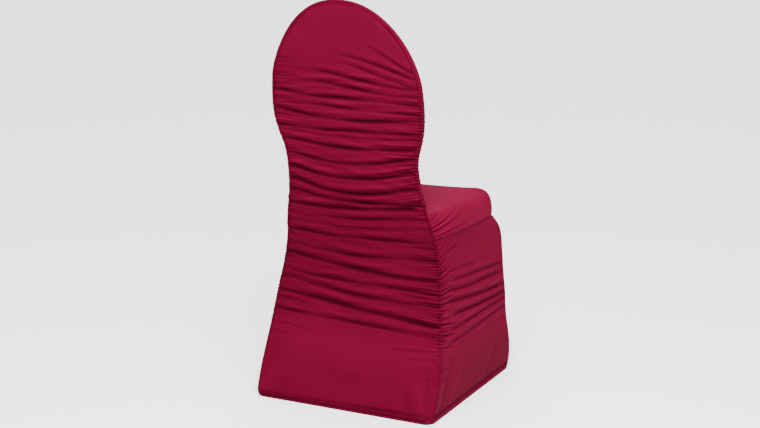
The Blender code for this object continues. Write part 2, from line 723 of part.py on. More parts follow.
def add_panel(name, faces, outer, inner, hem, material):
    """Close one panel of cloth: outer faces, inner faces and the cut edge between them."""
    mesh_edit = bmesh.new()
    shifts = setback(outer, faces, hem)
    outside = {}
    inside = {}
    for corner in sorted({corner for face in faces for corner in face}):
        shift = shifts.get(corner, np.zeros(3))
        outside[corner] = mesh_edit.verts.new(Vector(outer[corner] + shift))
        inside[corner] = mesh_edit.verts.new(Vector(inner[corner] + shift))
    for face in faces:
        mesh_edit.faces.new([outside[corner] for corner in face])
        mesh_edit.faces.new([inside[corner] for corner in reversed(face)])
    uses = {}
    for face in faces:
        for start, end in zip(face, face[1:] + face[:1]):
            uses.setdefault(frozenset((start, end)), []).append((start, end))
    for sides in uses.values():
        if len(sides) == 1:
            start, end = sides[0]
            if start < end:
                mesh_edit.faces.new([outside[end], outside[start], inside[end]])
                mesh_edit.faces.new([outside[start], inside[start], inside[end]])
            else:
                mesh_edit.faces.new([outside[end], outside[start], inside[start]])
                mesh_edit.faces.new([outside[end], inside[start], inside[end]])
    bmesh.ops.triangulate(mesh_edit, faces=mesh_edit.faces[:], quad_method="BEAUTY")
    mesh = bpy.data.meshes.new(name)
    mesh_edit.to_mesh(mesh)
    mesh_edit.free()
    mesh.shade_smooth()
    mesh.set_sharp_from_angle(angle=SHARP_ANGLE)
    mesh.materials.append(material)
    panel = bpy.data.objects.new(name, mesh)
    bpy.context.scene.collection.objects.link(panel)
    return panel


def cloth_material(name, color):
    """Satin-faced stretch knit in one colour."""
    material = bpy.data.materials.new(name)
    material.use_nodes = True
    shader = material.node_tree.nodes["Principled BSDF"]
    shader.inputs["Base Color"].default_value = (*color, 1.0)
    shader.inputs["Roughness"].default_value = CLOTH_ROUGHNESS
    shader.inputs["Metallic"].default_value = 0.0
    return material


def clear_scene():
    """Remove what the scene holds."""
    for item in list(bpy.data.objects):
        bpy.data.objects.remove(item, do_unlink=True)


def main():
    """Model the six panels."""
    clear_scene()
    back = outside_back()
    rim, face = inside_back()
    left, side_share = side_skirt(back, +1)
    right, _ = side_skirt(back, -1)
    front = front_skirt(left, right)
    for grid in (back, left, right, front):
        lift_corners(grid)
    grids = {
        "outside_back": ("outside_back", back, False),
        "rim": ("inside_back", rim, True),
        "face": ("inside_back", face, True),
        "seat": ("seat", seat(back, rim, face), False),
        "left": ("side_skirt_left", left, True),
        "right": ("side_skirt_right", right, False),
        "front": ("front_skirt", front, True),
    }
    points, numbered = weld({name: entry[1] for name, entry in grids.items()})
    panels = {}
    for name, (panel, _, flip) in grids.items():
        panels.setdefault(panel, []).extend(grid_faces(numbered[name], flip))
    hem = set()
    for name in ("outside_back", "left", "right", "front"):
        hem.update(numbered[name][0].tolist())
    normals, stretch = sheet_normals(points, panels, hem)

    depth = np.zeros(len(points))
    from_seam = (1 - np.abs(np.array(ACROSS)))[None, :] * np.abs(back[:, :1, 0])
    folds = back_depth(np.array(ACROSS)[None, :], back[:, :, 2])
    depth[numbered["outside_back"]] = folds * ease(from_seam / SEAM_FADE)
    for name, grid, lift in (("left", left, FAR_SIDE_LIFT), ("right", right, 0.0)):
        length = grid[:, :1, 1] - grid[:, -1:, 1]
        from_seam = np.minimum(side_share, 1 - side_share)[None, :] * length
        under_seat = ease((SEAM_HEIGHT - grid[:, :, 2]) / SEAM_FADE)
        folds = side_depth(side_share[None, :], grid[:, :, 2], lift)
        folds = folds * ease(from_seam / SEAM_FADE) * under_seat
        depth[numbered[name][:, 1:-1]] = folds[:, 1:-1]
    depth += hem_depth(points[:, 2])

    outer = points - normals * depth[:, None]
    inner = outer - normals * (CLOTH * stretch)[:, None]
    plain_rows = kept_rows(front, [0, -1])
    panels["front_skirt"] = grid_faces(numbered["front"][plain_rows], True)
    for name, faces in panels.items():
        material = cloth_material(name + "_knit", CLOTH_COLORS[name])
        add_panel(name, faces, outer, inner, hem, material)


main()
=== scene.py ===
"""Looks of the ruched stretch cover of a round-back banquet chair.

Each sewn panel of the cover is one thin sheet of satin-faced stretch knit that lies on the folds
of its solid, with the finer gathers at the seams and the turned hem added. Units are metres; the
chair under the cover faces -Y and +Z is up.
"""
import math

import bmesh
import bpy
import numpy as np
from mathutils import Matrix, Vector, kdtree


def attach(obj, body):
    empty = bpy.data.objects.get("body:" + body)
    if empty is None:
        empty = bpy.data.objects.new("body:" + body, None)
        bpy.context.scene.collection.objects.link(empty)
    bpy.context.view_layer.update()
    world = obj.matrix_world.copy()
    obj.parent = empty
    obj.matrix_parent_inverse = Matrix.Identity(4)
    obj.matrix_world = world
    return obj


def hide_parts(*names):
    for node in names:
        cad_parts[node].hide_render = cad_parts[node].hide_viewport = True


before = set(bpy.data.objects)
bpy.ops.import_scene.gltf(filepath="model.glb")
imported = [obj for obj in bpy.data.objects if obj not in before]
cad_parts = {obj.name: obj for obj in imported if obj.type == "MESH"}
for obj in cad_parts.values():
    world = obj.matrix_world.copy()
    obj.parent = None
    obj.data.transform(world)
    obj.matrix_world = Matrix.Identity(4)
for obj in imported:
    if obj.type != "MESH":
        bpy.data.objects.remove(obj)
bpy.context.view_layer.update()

# Overall sizes
CROWN_HEIGHT = 0.953
OVAL_HEIGHT = 0.763        # the backrest's round top starts here
SEAT_HEIGHT = 0.469
SEAM_HEIGHT = 0.408        # level seam under the seat cushion
OVAL_HALF_WIDTH = 0.1882
OVAL_SIDE_POWER = 2 / 2.17
OVAL_TOP_POWER = 2 / 1.44
OVAL_CORNER = math.radians(50)     # the outline's sides end here and its top begins
ARCH_START = 0.803                 # rows above this height bend towards the crown's curve

# Backrest rim and corner rounding: place, how far inside the outline, how far in front of the back
RIM_STEPS = (
    (0.0, 0.0015, 0.002), (1.0, 0.0000, 0.008), (2.0, 0.0020, 0.017), (3.0, 0.0110, 0.030),
)
SEAM_INSET = 0.0015
EDGE_DROP = 0.002
RIM_DEPTH = 0.030
RIM_FOOT_INSET = 0.016     # the rim is drawn in where it meets the seat
RIM_TAPER = 0.030
EDGE_ROUND = 0.014
BACK_PAD = 0.008           # soft bulge of the padded inside back
PAD_REACH = 0.12
PAD_FOOT = 0.06

# Seat
CUSHION_ROUND = 0.040
SEAT_HALF_WIDTH = 0.213
SEAT_FRONT = -0.152
SEAT_CROWN = 0.004
FRONT_LIFT = 0.008         # the seat's front corners stand this much over the middle of its front
FRONT_LEVEL = 0.40         # share of that lift that the middle lies low
FRONT_REACH = 0.120
CORNER_POWER = 3.0
PROFILE_POWER = 2.8        # how squarely the cushion's edge is rounded in section
SHOULDER_ROUND = 0.012     # the cushion's rounding where it meets the backrest
SHOULDER_REACH = 0.26
SEAT_HALF_LENGTH = 0.150
SKIRT_BLEND = 0.016        # the skirts bend in to the seam under the seat over this height
ARC_PLACE = 0.80           # the side seam's straight part ends at this place of its length

# Outline of the outside back: height, half width
BACK_OUTLINE = (
    (0.000, 0.2287), (0.023, 0.2312), (0.078, 0.2316), (0.113, 0.2292),
    (0.188, 0.2215), (0.243, 0.2157), (0.303, 0.2065), (0.360, 0.1990),
    (0.408, 0.1927), (0.438, 0.1882), (0.469, 0.1807), (0.515, 0.1714),
    (0.548, 0.1677), (0.578, 0.1670), (0.603, 0.1702), (0.633, 0.1797),
    (0.668, 0.1884), (0.703, 0.1912), (0.733, 0.1907), (0.763, 0.1882),
)

# How far back the outside back lies: height, y
BACK_LEAN = (
    (0.000, 0.2303), (0.123, 0.1840), (0.243, 0.1510), (0.363, 0.1340),
    (0.463, 0.1540), (0.563, 0.1815), (0.663, 0.1995), (0.763, 0.2100),
    (0.863, 0.2220), (0.953, 0.2397),
)

# Seam between side and front skirt: height, x, y
FRONT_CORNER = (
    (0.000, 0.2130, -0.2335), (0.023, 0.2150, -0.2350), (0.078, 0.2160, -0.2330),
    (0.103, 0.2160, -0.2260), (0.148, 0.2160, -0.2120), (0.208, 0.2160, -0.2045),
    (0.253, 0.2160, -0.1940), (0.313, 0.2160, -0.1842), (0.357, 0.2160, -0.1746),
    (0.383, 0.2145, -0.1625), (0.408, 0.2048, -0.1438),
)

# Seam under the side of the seat, back to front: y, x
SIDE_SEAM = (
    (-0.112, 0.2130), (-0.037, 0.2125), (0.043, 0.2095), (0.103, 0.2020),
    (0.138, 0.1912),
)

# Places across the back where a crease's height is given, from the chair's left (+X) to its right
STATIONS = (0.9, 0.45, 0.0, -0.45, -0.9)

# Main creases of the outside back: the five heights, depth, where it starts and where it ends
BACK_CREASES = (
    (0.873, 0.865, 0.858, 0.845, 0.802, 0.0030, -0.45, -1.00),
    (0.833, 0.831, 0.826, 0.811, 0.786, 0.0026, 0.05, -1.00),
    (0.818, 0.815, 0.809, 0.788, 0.765, 0.0026, -0.10, -1.00),
    (0.793, 0.789, 0.778, 0.766, 0.760, 0.0030, 0.45, -0.90),
    (0.765, 0.763, 0.755, 0.745, 0.744, 0.0030, 0.45, -1.00),
    (0.734, 0.727, 0.728, 0.727, 0.727, 0.0030, 1.00, -1.00),
    (0.704, 0.708, 0.705, 0.703, 0.706, 0.0022, 1.00, -1.00),
    (0.690, 0.680, 0.677, 0.681, 0.689, 0.0036, 1.00, -1.00),
    (0.653, 0.649, 0.652, 0.655, 0.657, 0.0032, 1.00, -1.00),
    (0.643, 0.637, 0.636, 0.639, 0.645, 0.0014, 0.50, -1.00),
    (0.623, 0.613, 0.610, 0.614, 0.621, 0.0036, 1.00, -1.00),
    (0.588, 0.574, 0.573, 0.582, 0.599, 0.0032, 1.00, -1.00),
    (0.552, 0.538, 0.537, 0.546, 0.567, 0.0042, 1.00, -1.00),
    (0.523, 0.503, 0.498, 0.508, 0.527, 0.0048, 1.00, -1.00),
    (0.494, 0.481, 0.478, 0.483, 0.489, 0.0042, 1.00, -1.00),
    (0.459, 0.457, 0.461, 0.469, 0.479, 0.0042, 1.00, -0.85),
    (0.443, 0.433, 0.436, 0.445, 0.455, 0.0028, 0.55, -1.00),
    (0.412, 0.412, 0.413, 0.418, 0.423, 0.0012, 0.90, -0.60),
    (0.392, 0.387, 0.388, 0.392, 0.395, 0.0030, 1.00, -1.00),
    (0.356, 0.348, 0.345, 0.351, 0.357, 0.0028, 1.00, -1.00),
    (0.333, 0.322, 0.314, 0.308, 0.309, 0.0042, 1.00, -1.00),
    (0.294, 0.285, 0.284, 0.283, 0.281, 0.0028, 1.00, -1.00),
    (0.277, 0.263, 0.255, 0.252, 0.255, 0.0030, 1.00, -1.00),
    (0.243, 0.235, 0.224, 0.217, 0.209, 0.0042, 1.00, -1.00),
    (0.199, 0.196, 0.193, 0.189, 0.185, 0.0030, 1.00, -1.00),
    (0.153, 0.148, 0.143, 0.146, 0.154, 0.0012, -0.45, -1.00),
)

# Short creases of the outside back: where each starts and ends across, the height there, depth
SHORT_CREASES = (
    (0.95, 0.66, 0.809, 0.809, 0.0016), (0.90, 0.60, 0.801, 0.804, 0.0008),
    (0.95, 0.78, 0.786, 0.785, 0.0013), (0.95, 0.60, 0.768, 0.768, 0.0016),
    (0.95, 0.62, 0.749, 0.750, 0.0014), (0.65, 0.30, 0.308, 0.308, 0.0010),
    (0.92, 0.50, 0.228, 0.218, 0.0015), (0.92, 0.50, 0.215, 0.210, 0.0013),
    (0.90, 0.50, 0.170, 0.160, 0.0009), (0.95, 0.70, 0.148, 0.147, 0.0008),
    (-0.50, -1.00, 0.593, 0.600, 0.0014), (-0.60, -0.95, 0.380, 0.386, 0.0013),
    (-0.38, -1.00, 0.236, 0.221, 0.0010), (-0.56, -0.96, 0.127, 0.136, 0.0009),
    (-0.74, -0.94, 0.113, 0.118, 0.0008), (-0.82, -0.95, 0.097, 0.103, 0.0007),
)

# Creases of a side skirt: height at the back seam, one third, two thirds and the front seam,
# depth, where it starts and where it ends (0 at the back seam, 1 at the front)
SIDE_STATIONS = (0.0, 0.33, 0.67, 1.0)
SIDE_CREASES = (
    (0.365, 0.377, 0.383, 0.388, 0.0014, 0.00, 0.30),
    (0.327, 0.320, 0.315, 0.313, 0.0015, 0.00, 0.50),
    (0.305, 0.296, 0.288, 0.279, 0.0026, 0.20, 1.00),
    (0.289, 0.272, 0.265, 0.260, 0.0030, 0.00, 0.95),
    (0.261, 0.247, 0.233, 0.225, 0.0036, 0.00, 0.97),
    (0.231, 0.218, 0.209, 0.203, 0.0036, 0.20, 1.00),
    (0.193, 0.188, 0.190, 0.187, 0.0026, 0.05, 1.00),
    (0.165, 0.161, 0.165, 0.169, 0.0022, 0.00, 1.00),
    (0.148, 0.143, 0.141, 0.142, 0.0012, 0.60, 1.00),
)
SIDE_START = 0.13          # nearer to the back seam than this they break up into gathers
FAR_SIDE_LIFT = 0.006      # the unseen side's creases lie this much higher

# Soft folds that the stretched cloth makes at its foot: start and end (place along and height),
# half width and depth; a negative depth is a ridge. The place is x on the back, and the distance
# from the back seam on a side skirt.
BACK_FOOT_FOLDS = (
    (-0.176, 0.084, -0.204, 0.020, 0.0070, -0.0011),
    (-0.150, 0.060, -0.178, 0.018, 0.0080, 0.0010),
    (-0.197, 0.110, -0.212, 0.060, 0.0060, 0.0008),
    (0.196, 0.070, 0.214, 0.024, 0.0080, -0.0010),
    (0.150, 0.050, 0.180, 0.018, 0.0100, 0.0008),
    (0.060, 0.075, -0.060, 0.062, 0.0120, 0.0007),
)
SIDE_FOOT_FOLDS = (
    (0.012, 0.030, 0.018, 0.120, 0.0060, -0.0014),
    (0.030, 0.020, 0.062, 0.125, 0.0090, 0.0012),
    (0.075, 0.018, 0.130, 0.110, 0.0120, -0.0010),
    (0.300, 0.030, 0.360, 0.105, 0.0140, 0.0008),
)
FOLD_END = 0.15            # share of half a wave that is left out at each end of such a fold

# Shape of a crease: a broad underside above it, a short lip below it, and a soft roll over both
CREASE_GAIN = 1.34         # the cloth folds in a little deeper than its solid does
CREASE_ABOVE = 0.0076
CREASE_BELOW = 0.0034
ABOVE_POWER = 1.2          # how sharp its bottom is on either side
BELOW_POWER = 1.3
USUAL_DEPTH = 0.0032       # deeper creases than this are broader, and shallower ones narrower
WIDTH_POWER = 0.45
CREASE_FADE = 0.16         # a crease fades over this share of the half width or of the side
CREASE_UNEVEN = 0.30       # share by which a crease grows and shrinks along its length
UNEVEN_TURNS = 0.9         # how often it does so over the half width
UNEVEN_STAGGER = 37.0      # and how much later for each metre of height
# Share by which the creases grow shallow towards the chair's left (1) and right (-1), and where
# that starts
EASING = {1: (0.45, 0.70), -1: (0.35, 0.75)}
SLOW_START = 2.5           # a crease that starts inside the back fades in this much slower
SHORT_FADE = 0.12          # a short crease fades in over this share of the half width
SHORT_PAST = 0.05          # and runs this far past its outer end, where it fades over the next
SHORT_END = 0.06
# The roll above a crease and the lip below it: share of its depth, height over it, half width
CREASE_RIDGES = ((0.28, 0.0130, 0.0070), (0.16, -0.0062, 0.0030))

# Low waves between the creases: how many, their widths and heights, the seed and size of those on
# the back and the side skirts, and the lowest and highest place of each with its fade
WAVE_COUNT = 12
WAVE_WIDTHS = (0.10, 0.30)
WAVE_HEIGHTS = (0.014, 0.034)
BACK_WAVES = (3, 0.0006)
SIDE_WAVES = (5, 0.00035)
BACK_WAVE_SPAN = (0.18, 0.04, 0.83, 0.06)
SIDE_WAVE_SPAN = (0.13, 0.03, 0.33, 0.06)

# Short gathers that both panels share along a seam: lowest and highest place, closest and widest
# spacing, least and greatest depth
BACK_SEAM_GATHERS = (0.085, 0.815, 0.0056, 0.0086, 0.0020, 0.0042)
FRONT_SEAM_GATHERS = (0.140, 0.320, 0.0056, 0.0095, 0.0008, 0.0018)
# How much of that depth there is: height, share
SEAM_STRENGTH = (
    (0.085, 0.60), (0.165, 0.80), (0.240, 1.00), (0.400, 1.00),
    (0.430, 0.80), (0.500, 1.00), (0.700, 0.90), (0.815, 0.45),
)
GATHER_TURN = 0.06         # they turn up or down by as much as this, as a slope
BACK_SEAM_SEEDS = {1: 11, -1: 12}
BACK_LONG_SEEDS = {1: 51, -1: 52}
FRONT_SEAM_SEEDS = {1: 13, -1: 14}
SIDE_LONG_SEEDS = {1: 32, -1: 30}
# Shortest and longest reach of those gathers into each panel, and how much deeper they are there
BACK_REACH = (0.014, 0.048)
RIM_REACH = (0.026, 0.050)
SIDE_REACH = (0.018, 0.065)
SIDE_GAIN = 1.45
FRONT_REACH_ASIDE = (0.008, 0.028)
SEAT_REACH = (0.045, 0.110)
SEAT_GAIN = 2.0
# Longer gathers between them: lowest and highest place, closest and widest spacing, least and
# greatest depth, then shortest and longest reach
BACK_LONG_GATHERS = (0.170, 0.800, 0.0110, 0.0220, 0.0008, 0.0020)
SIDE_LONG_GATHERS = (0.180, 0.400, 0.0085, 0.0150, 0.0016, 0.0032)
LONG_REACH = (0.030, 0.090)
LEFT_SHARE = 0.65          # the gathers at the chair's left are this much of those at its right
# How much of their reach the gathers have on the back: height, share
BACK_REACH_SHARE = (
    (0.085, 1.00), (0.385, 1.00), (0.415, 0.30), (0.455, 0.30),
    (0.480, 1.00), (0.815, 1.00),
)
# How they lean by their height: those of a side skirt fan out, up towards the seat and down below
# the middle, and those of the seat's shoulder the more so the higher they start
SIDE_FAN = ((0.17, -0.20), (0.25, -0.10), (0.33, 0.25), (0.40, 0.80))
SEAT_FAN = ((SEAM_HEIGHT, 0.10), (SEAT_HEIGHT, 0.50))
FRONT_FAN = ((0.0, 0.12),)
NO_FAN = ((0.0, 0.0),)
RIDGE_SHARE = 0.25         # the cloth rises beside a gather by this share of its depth
RIDGE_WIDTH = 1.7
GATHER_POWER = 1.4
FINE = (0.0026, 0.0016)    # how far a short gather reaches above and below its bottom
LONG = (0.0034, 0.0020)    # and a long one

# Seams and hem
SEAM_VALLEY = 0.0016       # a seam lies this deep, over this half width
SEAM_WIDTH = 0.0020
SEAM_CATCH = 0.0030        # seam points this close belong together
SEAM_BLEND = 0.0050        # both panels fold alike this near to it
SEAM_PROUD = 0.0020        # the seam allowance under the cloth lifts the back's and corners' seams
SEAM_PROUD_WIDTH = 0.0110
SEAM_PROUD_END = 0.012     # it ends this far in front of the back
FRONT_PROUD_TOP = 0.388    # and on the corners' seams fades out below this height
FRONT_PROUD_FADE = 0.030
SEAM_PAINTED_SHADE = 0.0020        # painted shade along the seams, where the stitches draw the cloth in
SEAM_PAINTED_SHADE_WIDTH = 0.0030
BACK_SEAMS_FROM = 0.120    # gathered seams lie behind this y
FRONT_SEAMS_TO = -0.120    # or before this one
SEAMS_ASIDE = 0.150        # and further out than this
FOOT_TOP = 0.160           # painted shade: the cloth below this height is painted darker
FOOT_FADE = 0.080
FOOT_PAINTED_SHADE = 0.0010
# Painted shade along the hem's lower edge, which lies in shade under its turn
HEM_PAINTED_SHADE = 0.0050
HEM_PAINTED_SHADE_HEIGHT = 0.0022
# Painted shade over the ruched part of the back, which is painted darker there: height, share of
# depth
RUCHED_PAINTED_SHADE = (
    (0.140, 0.0000), (0.200, 0.0012), (0.420, 0.0012), (0.480, 0.0008),
    (0.780, 0.0008), (0.860, 0.0000),
)
BAND_WIDTH = 0.0068        # the back's edge turns over to the rim this far inside the seam
BAND_SOFTNESS = 0.0014
BAND_GROOVE = 0.0010
BAND_STEP = 0.0016
BAND_FROM = 0.060
BAND_EASE = 0.010          # it ends over this height under the seat's seam
RIM_FADE = 0.8             # the rim's gathers end over this much of its places
SEAM_LEAN = 0.0050         # two panels lean alike this near to their seam
HEM_TOP = 0.009
HEM_PROUD = 0.0008
HEM_EASE = 0.003
HEM_TURN = ((0.0006, 0.0000), (0.0014, 0.0005), (0.0018, 0.0030), (0.0018, 0.0090))
# Groove over the hem: height over the hem, half width and depth. On the back it slants, and is
# deeper at one place: by how much, where across and over what half width
SIDE_HEM = (0.0055, 0.0050, 0.0026)
FRONT_HEM = (0.0055, 0.0050, 0.0014)
BACK_HEM = (0.0035, 0.0045, 0.0013)
BACK_HEM_SLANT = 0.0025
BACK_HEM_DEEPER = (0.0014, -0.45, 0.40)
CORNER_LIFT = 0.0045       # the hem's corners are drawn up by this much
CORNER_REACH = 0.018       # over this length on either side of the seam
CORNER_PULL = 0.0035       # and drawn in by this much
CORNER_HEIGHT = 0.014      # up to this height

# Camera at the photograph's view
CAMERA_PLACE = (-2.0967, 4.0922, 1.5821)
CAMERA_YAW = 0.4772
CAMERA_PITCH = -0.2483
CAMERA_LENS = 95.25
SENSOR_WIDTH = 36.0
CAMERA_FAR = 100.0

# Lights: a softbox near the backrest, and broad even suns: name, bearing from +Y towards -X,
# height and softness in degrees, strength
KEY_PLACE = (-0.75, 1.45, 2.15)
KEY_TARGET = (0.0, 0.10, 0.60)
KEY_SIZE = 0.8
KEY_POWER = 140.0
SUNS = (
    ("sky", 27.0, 69.0, 50.0, 4.9),
    ("front fill", 205.0, 40.0, 70.0, 3.2),
    ("side fill", 100.0, 30.0, 60.0, 1.3),
)
SUN_DISTANCE = 4.0
WORLD_STRENGTH = 0.55
FLOOR_REACH = 12.0
FLOOR_GREY = (0.86, 0.86, 0.86, 1.0)
FLOOR_ROUGHNESS = 0.9


def curve(rows, at, column=1):
    """Smooth value of one column of a table whose first column is the place."""
    places = np.array([row[0] for row in rows])
    values = np.array([row[column] for row in rows])
    slopes = np.gradient(values, places)
    at = np.clip(np.asarray(at, dtype=float), places[0], places[-1])
    cell = np.clip(np.searchsorted(places, at) - 1, 0, len(places) - 2)
    span = places[cell + 1] - places[cell]
    t = (at - places[cell]) / span
    rise = t * t * (3 - 2 * t)
    lead = t * (1 - t) ** 2 * span
    tail = t * t * (t - 1) * span
    return (values[cell] * (1 - rise) + values[cell + 1] * rise
            + slopes[cell] * lead + slopes[cell + 1] * tail)


def ease(x):
    """Smooth step from 0 to 1."""
    x = np.clip(x, 0.0, 1.0)
    return x * x * (3 - 2 * x)


def bell(distance, width, power=2):
    """Smooth fall from 1 at no distance to 0 beyond a few widths."""
    return np.exp(-(np.abs(distance) / width) ** power)


def steps(*spans):
    """Places along several spans, each given as low, high and step; every end is kept."""
    parts = []
    for low, high, step in spans:
        count = max(1, round((high - low) / step))
        parts.append(np.linspace(low, high, count, endpoint=False))
    parts.append(np.array([spans[-1][1]]))
    return np.concatenate(parts)


def oval_point(angle):
    """Half width and height of the backrest's round top; a right angle is the crown."""
    width = OVAL_HALF_WIDTH * np.clip(np.cos(angle), 0, 1) ** OVAL_SIDE_POWER
    rise = (CROWN_HEIGHT - OVAL_HEIGHT) * np.sin(angle) ** OVAL_TOP_POWER
    return width, OVAL_HEIGHT + rise


def half_width(z):
    """Half width of the outside back at a height."""
    rise = np.clip((np.asarray(z, dtype=float) - OVAL_HEIGHT) / (CROWN_HEIGHT - OVAL_HEIGHT), 0, 1)
    angle = np.arcsin(rise ** (1 / OVAL_TOP_POWER))
    return np.where(rise > 0, oval_point(angle)[0], curve(BACK_OUTLINE, z))


def back_y(z):
    """How far back the outside back lies at a height."""
    return curve(BACK_LEAN, z)


# Rows and columns of the sheets
OVAL_TOP_ROW = float(oval_point(OVAL_CORNER)[1])
ROWS = steps(
    (0.0, 0.024, 0.0015),
    (0.024, 0.150, 0.0035),
    (0.150, SEAM_HEIGHT, 0.0010),
    (SEAM_HEIGHT, SEAT_HEIGHT, 0.0010),
    (SEAT_HEIGHT, 0.815, 0.0010),
    (0.815, 0.880, 0.0014),
    (0.880, OVAL_TOP_ROW, 0.0028),
)
SEAM_ROW = int(np.argmin(np.abs(ROWS - SEAM_HEIGHT)))
SEAT_ROW = int(np.argmin(np.abs(ROWS - SEAT_HEIGHT)))
EVEN = np.linspace(1, -1, 111)
ACROSS = EVEN * (1.35 - 0.35 * EVEN ** 2)      # closer together near the seams
RIM_PLACES = np.linspace(0, 3, 10)
SEAT_PLACES = steps((0.0, ARC_PLACE, 0.018), (ARC_PLACE, 1.0, 0.008))
SEAT_COLUMNS = steps((0.0, 0.20, 0.020), (0.20, 1.0, 0.0148))
SIDE_PLACES = steps((0.0, 0.15, 0.006), (0.15, ARC_PLACE, 0.010), (ARC_PLACE, 1.0, 0.008))
HEM_ROWS = 18              # above these rows the smooth front skirt keeps every fourth one
FRONT_STEP = 4


def outline_loop():
    """The backrest's outline, up its left side, over the crown and down its right side."""
    inner = ACROSS[1:-1]
    width, height = oval_point(math.pi / 2 - np.abs(inner) * (math.pi / 2 - OVAL_CORNER))
    side = half_width(ROWS)
    loop = np.vstack([
        np.column_stack([side, ROWS]),
        np.column_stack([np.sign(inner) * width, height]),
        np.column_stack([-side, ROWS])[::-1],
    ])
    along = np.gradient(loop, axis=0)
    along /= np.linalg.norm(along, axis=1, keepdims=True)
    outward = np.column_stack([along[:, 1], -along[:, 0]])
    outward[:SEAM_ROW + 1] = (1.0, 0.0)
    outward[-SEAM_ROW - 1:] = (-1.0, 0.0)
    return loop, outward


def outline_at(inset, forward):
    """Points that lie inside the outline by inset and in front of the back by forward."""
    loop, outward = outline_loop()
    place = loop - inset * outward
    y = back_y(place[:, 1]) - forward
    return np.column_stack([place[:, 0], y, place[:, 1]])


def fill_outline(edge, first_row):
    """Grid of points inside an outline loop, from a row near its foot up to the crown."""
    rows = len(ROWS)
    left = edge[first_row:rows]
    right = edge[::-1][first_row:rows]
    top = np.vstack([left[-1:], edge[rows:-rows], right[-1:]])
    part = ((1 + ACROSS) / 2)[:, None]
    arch = top - left[-1] * part - right[-1] * (1 - part)
    reach = np.clip((ROWS[first_row:] - ARCH_START) / (ROWS[-1] - ARCH_START), 0, 1) ** 2
    level = left[:, None] * part + right[:, None] * (1 - part)
    return level + arch * reach[:, None, None]


def tree_of(points):
    """Tree in which the nearest of some points are found."""
    tree = kdtree.KDTree(len(points))
    for number, point in enumerate(points):
        tree.insert(point, number)
    tree.balance()
    return tree


def distance_to(points, targets):
    """Distance in the plane of the back from each point of a grid to the nearest target."""
    tree = tree_of(targets * (1, 0, 1))
    flat = [tree.find(point)[2] for point in points.reshape(-1, 3) * (1, 0, 1)]
    return np.array(flat).reshape(points.shape[:2])


def outside_back():
    """Grid of the ruched back, from hem to crown, left edge first."""
    edge = outline_at(SEAM_INSET, EDGE_DROP)
    grid = fill_outline(edge, 0)
    from_edge = distance_to(grid, edge)
    grid[:, :, 1] = back_y(grid[:, :, 2]) - EDGE_DROP * (1 - ease(from_edge / EDGE_ROUND))
    return grid


def inside_back():
    """Grids of the inside back: the rim that it wraps, and its padded face."""
    loops = []
    for place in RIM_PLACES:
        inset, forward = (curve(RIM_STEPS, place, column) for column in (1, 2))
        loops.append(outline_at(inset, forward))
    foot = 1 - ease((loops[0][:, 2:] - SEAT_HEIGHT) / RIM_TAPER)
    loops[-1] = loops[-1] * (1 - foot) + outline_at(RIM_FOOT_INSET, RIM_DEPTH) * foot
    for step in range(1, len(loops) - 1):
        straight = loops[0] + (loops[-1] - loops[0]) * step / (len(loops) - 1)
        loops[step] = loops[step] * (1 - foot) + straight * foot
    rim = np.array([loop[SEAT_ROW:-SEAT_ROW] for loop in loops]).transpose(1, 0, 2)
    face = fill_outline(loops[-1], SEAT_ROW)
    from_edge = distance_to(face, loops[-1])
    puff = ease(from_edge / PAD_REACH) * ease((face[:, :, 2] - SEAT_HEIGHT) / PAD_FOOT)
    inner = (slice(1, -1), slice(1, -1))
    face[inner][:, :, 1] = (back_y(face[:, :, 2]) - RIM_DEPTH - BACK_PAD * puff)[inner]
    return rim, face


def corner_arc(angle):
    """Point of the seam round the seat's front corner, from 0 at its side to a right angle."""
    across = math.cos(angle) ** (2 / CORNER_POWER)
    ahead = math.sin(angle) ** (2 / CORNER_POWER)
    x = SEAT_HALF_WIDTH - CUSHION_ROUND + CUSHION_ROUND * across
    y = SEAT_FRONT + CUSHION_ROUND - CUSHION_ROUND * ahead
    return x, y


def side_seam(place):
    """Point of the seam under the side of the seat, 0 at the back and 1 at the front corner."""
    y_end = SIDE_SEAM[0][0]
    y_start = SIDE_SEAM[-1][0]
    if place <= ARC_PLACE:
        y = y_start + (y_end - y_start) * place / ARC_PLACE
        return curve(SIDE_SEAM, y), y
    return corner_arc(math.radians(45) * (place - ARC_PLACE) / (1 - ARC_PLACE))


def cushion_height(x, y):
    """Height of the seat cushion's surface over a place in plan."""
    seam_x = curve(SIDE_SEAM, y)
    beside = np.clip((np.abs(x) - seam_x + CUSHION_ROUND) / CUSHION_ROUND, 0, 1)
    before = np.clip((SEAT_FRONT + CUSHION_ROUND - y) / CUSHION_ROUND, 0, 1)
    out = np.clip((beside ** CORNER_POWER + before ** CORNER_POWER) ** (1 / CORNER_POWER), 0, 1)
    flat = SEAT_HALF_WIDTH - CUSHION_ROUND
    crown = SEAT_CROWN * np.clip(1 - (x / flat) ** 2, 0, 1)
    crown = crown * np.clip(1 - (y / SEAT_HALF_LENGTH) ** 2, 0, 1)
    rise = (1 - out ** PROFILE_POWER) ** (1 / PROFILE_POWER)
    lift = FRONT_LIFT * (np.clip(np.abs(x) / flat, 0, 1) ** 2 - FRONT_LEVEL)
    lift = lift * np.clip(-y / FRONT_REACH, 0, 1) ** 2
    return SEAM_HEIGHT + (SEAT_HEIGHT - SEAM_HEIGHT + lift) * rise + crown


def seat_front_line():
    """The front edge of the seat panel, left to right."""
    columns = SEAT_ROW - SEAM_ROW
    points = [corner_arc(math.radians(45 + 45 * step / columns)) for step in range(columns)]
    flat = SEAT_HALF_WIDTH - CUSHION_ROUND
    points += [(flat * (1 - part), SEAT_FRONT) for part in SEAT_COLUMNS]
    points = np.array(points)
    return np.vstack([points, points[-2::-1] * (-1, 1)])


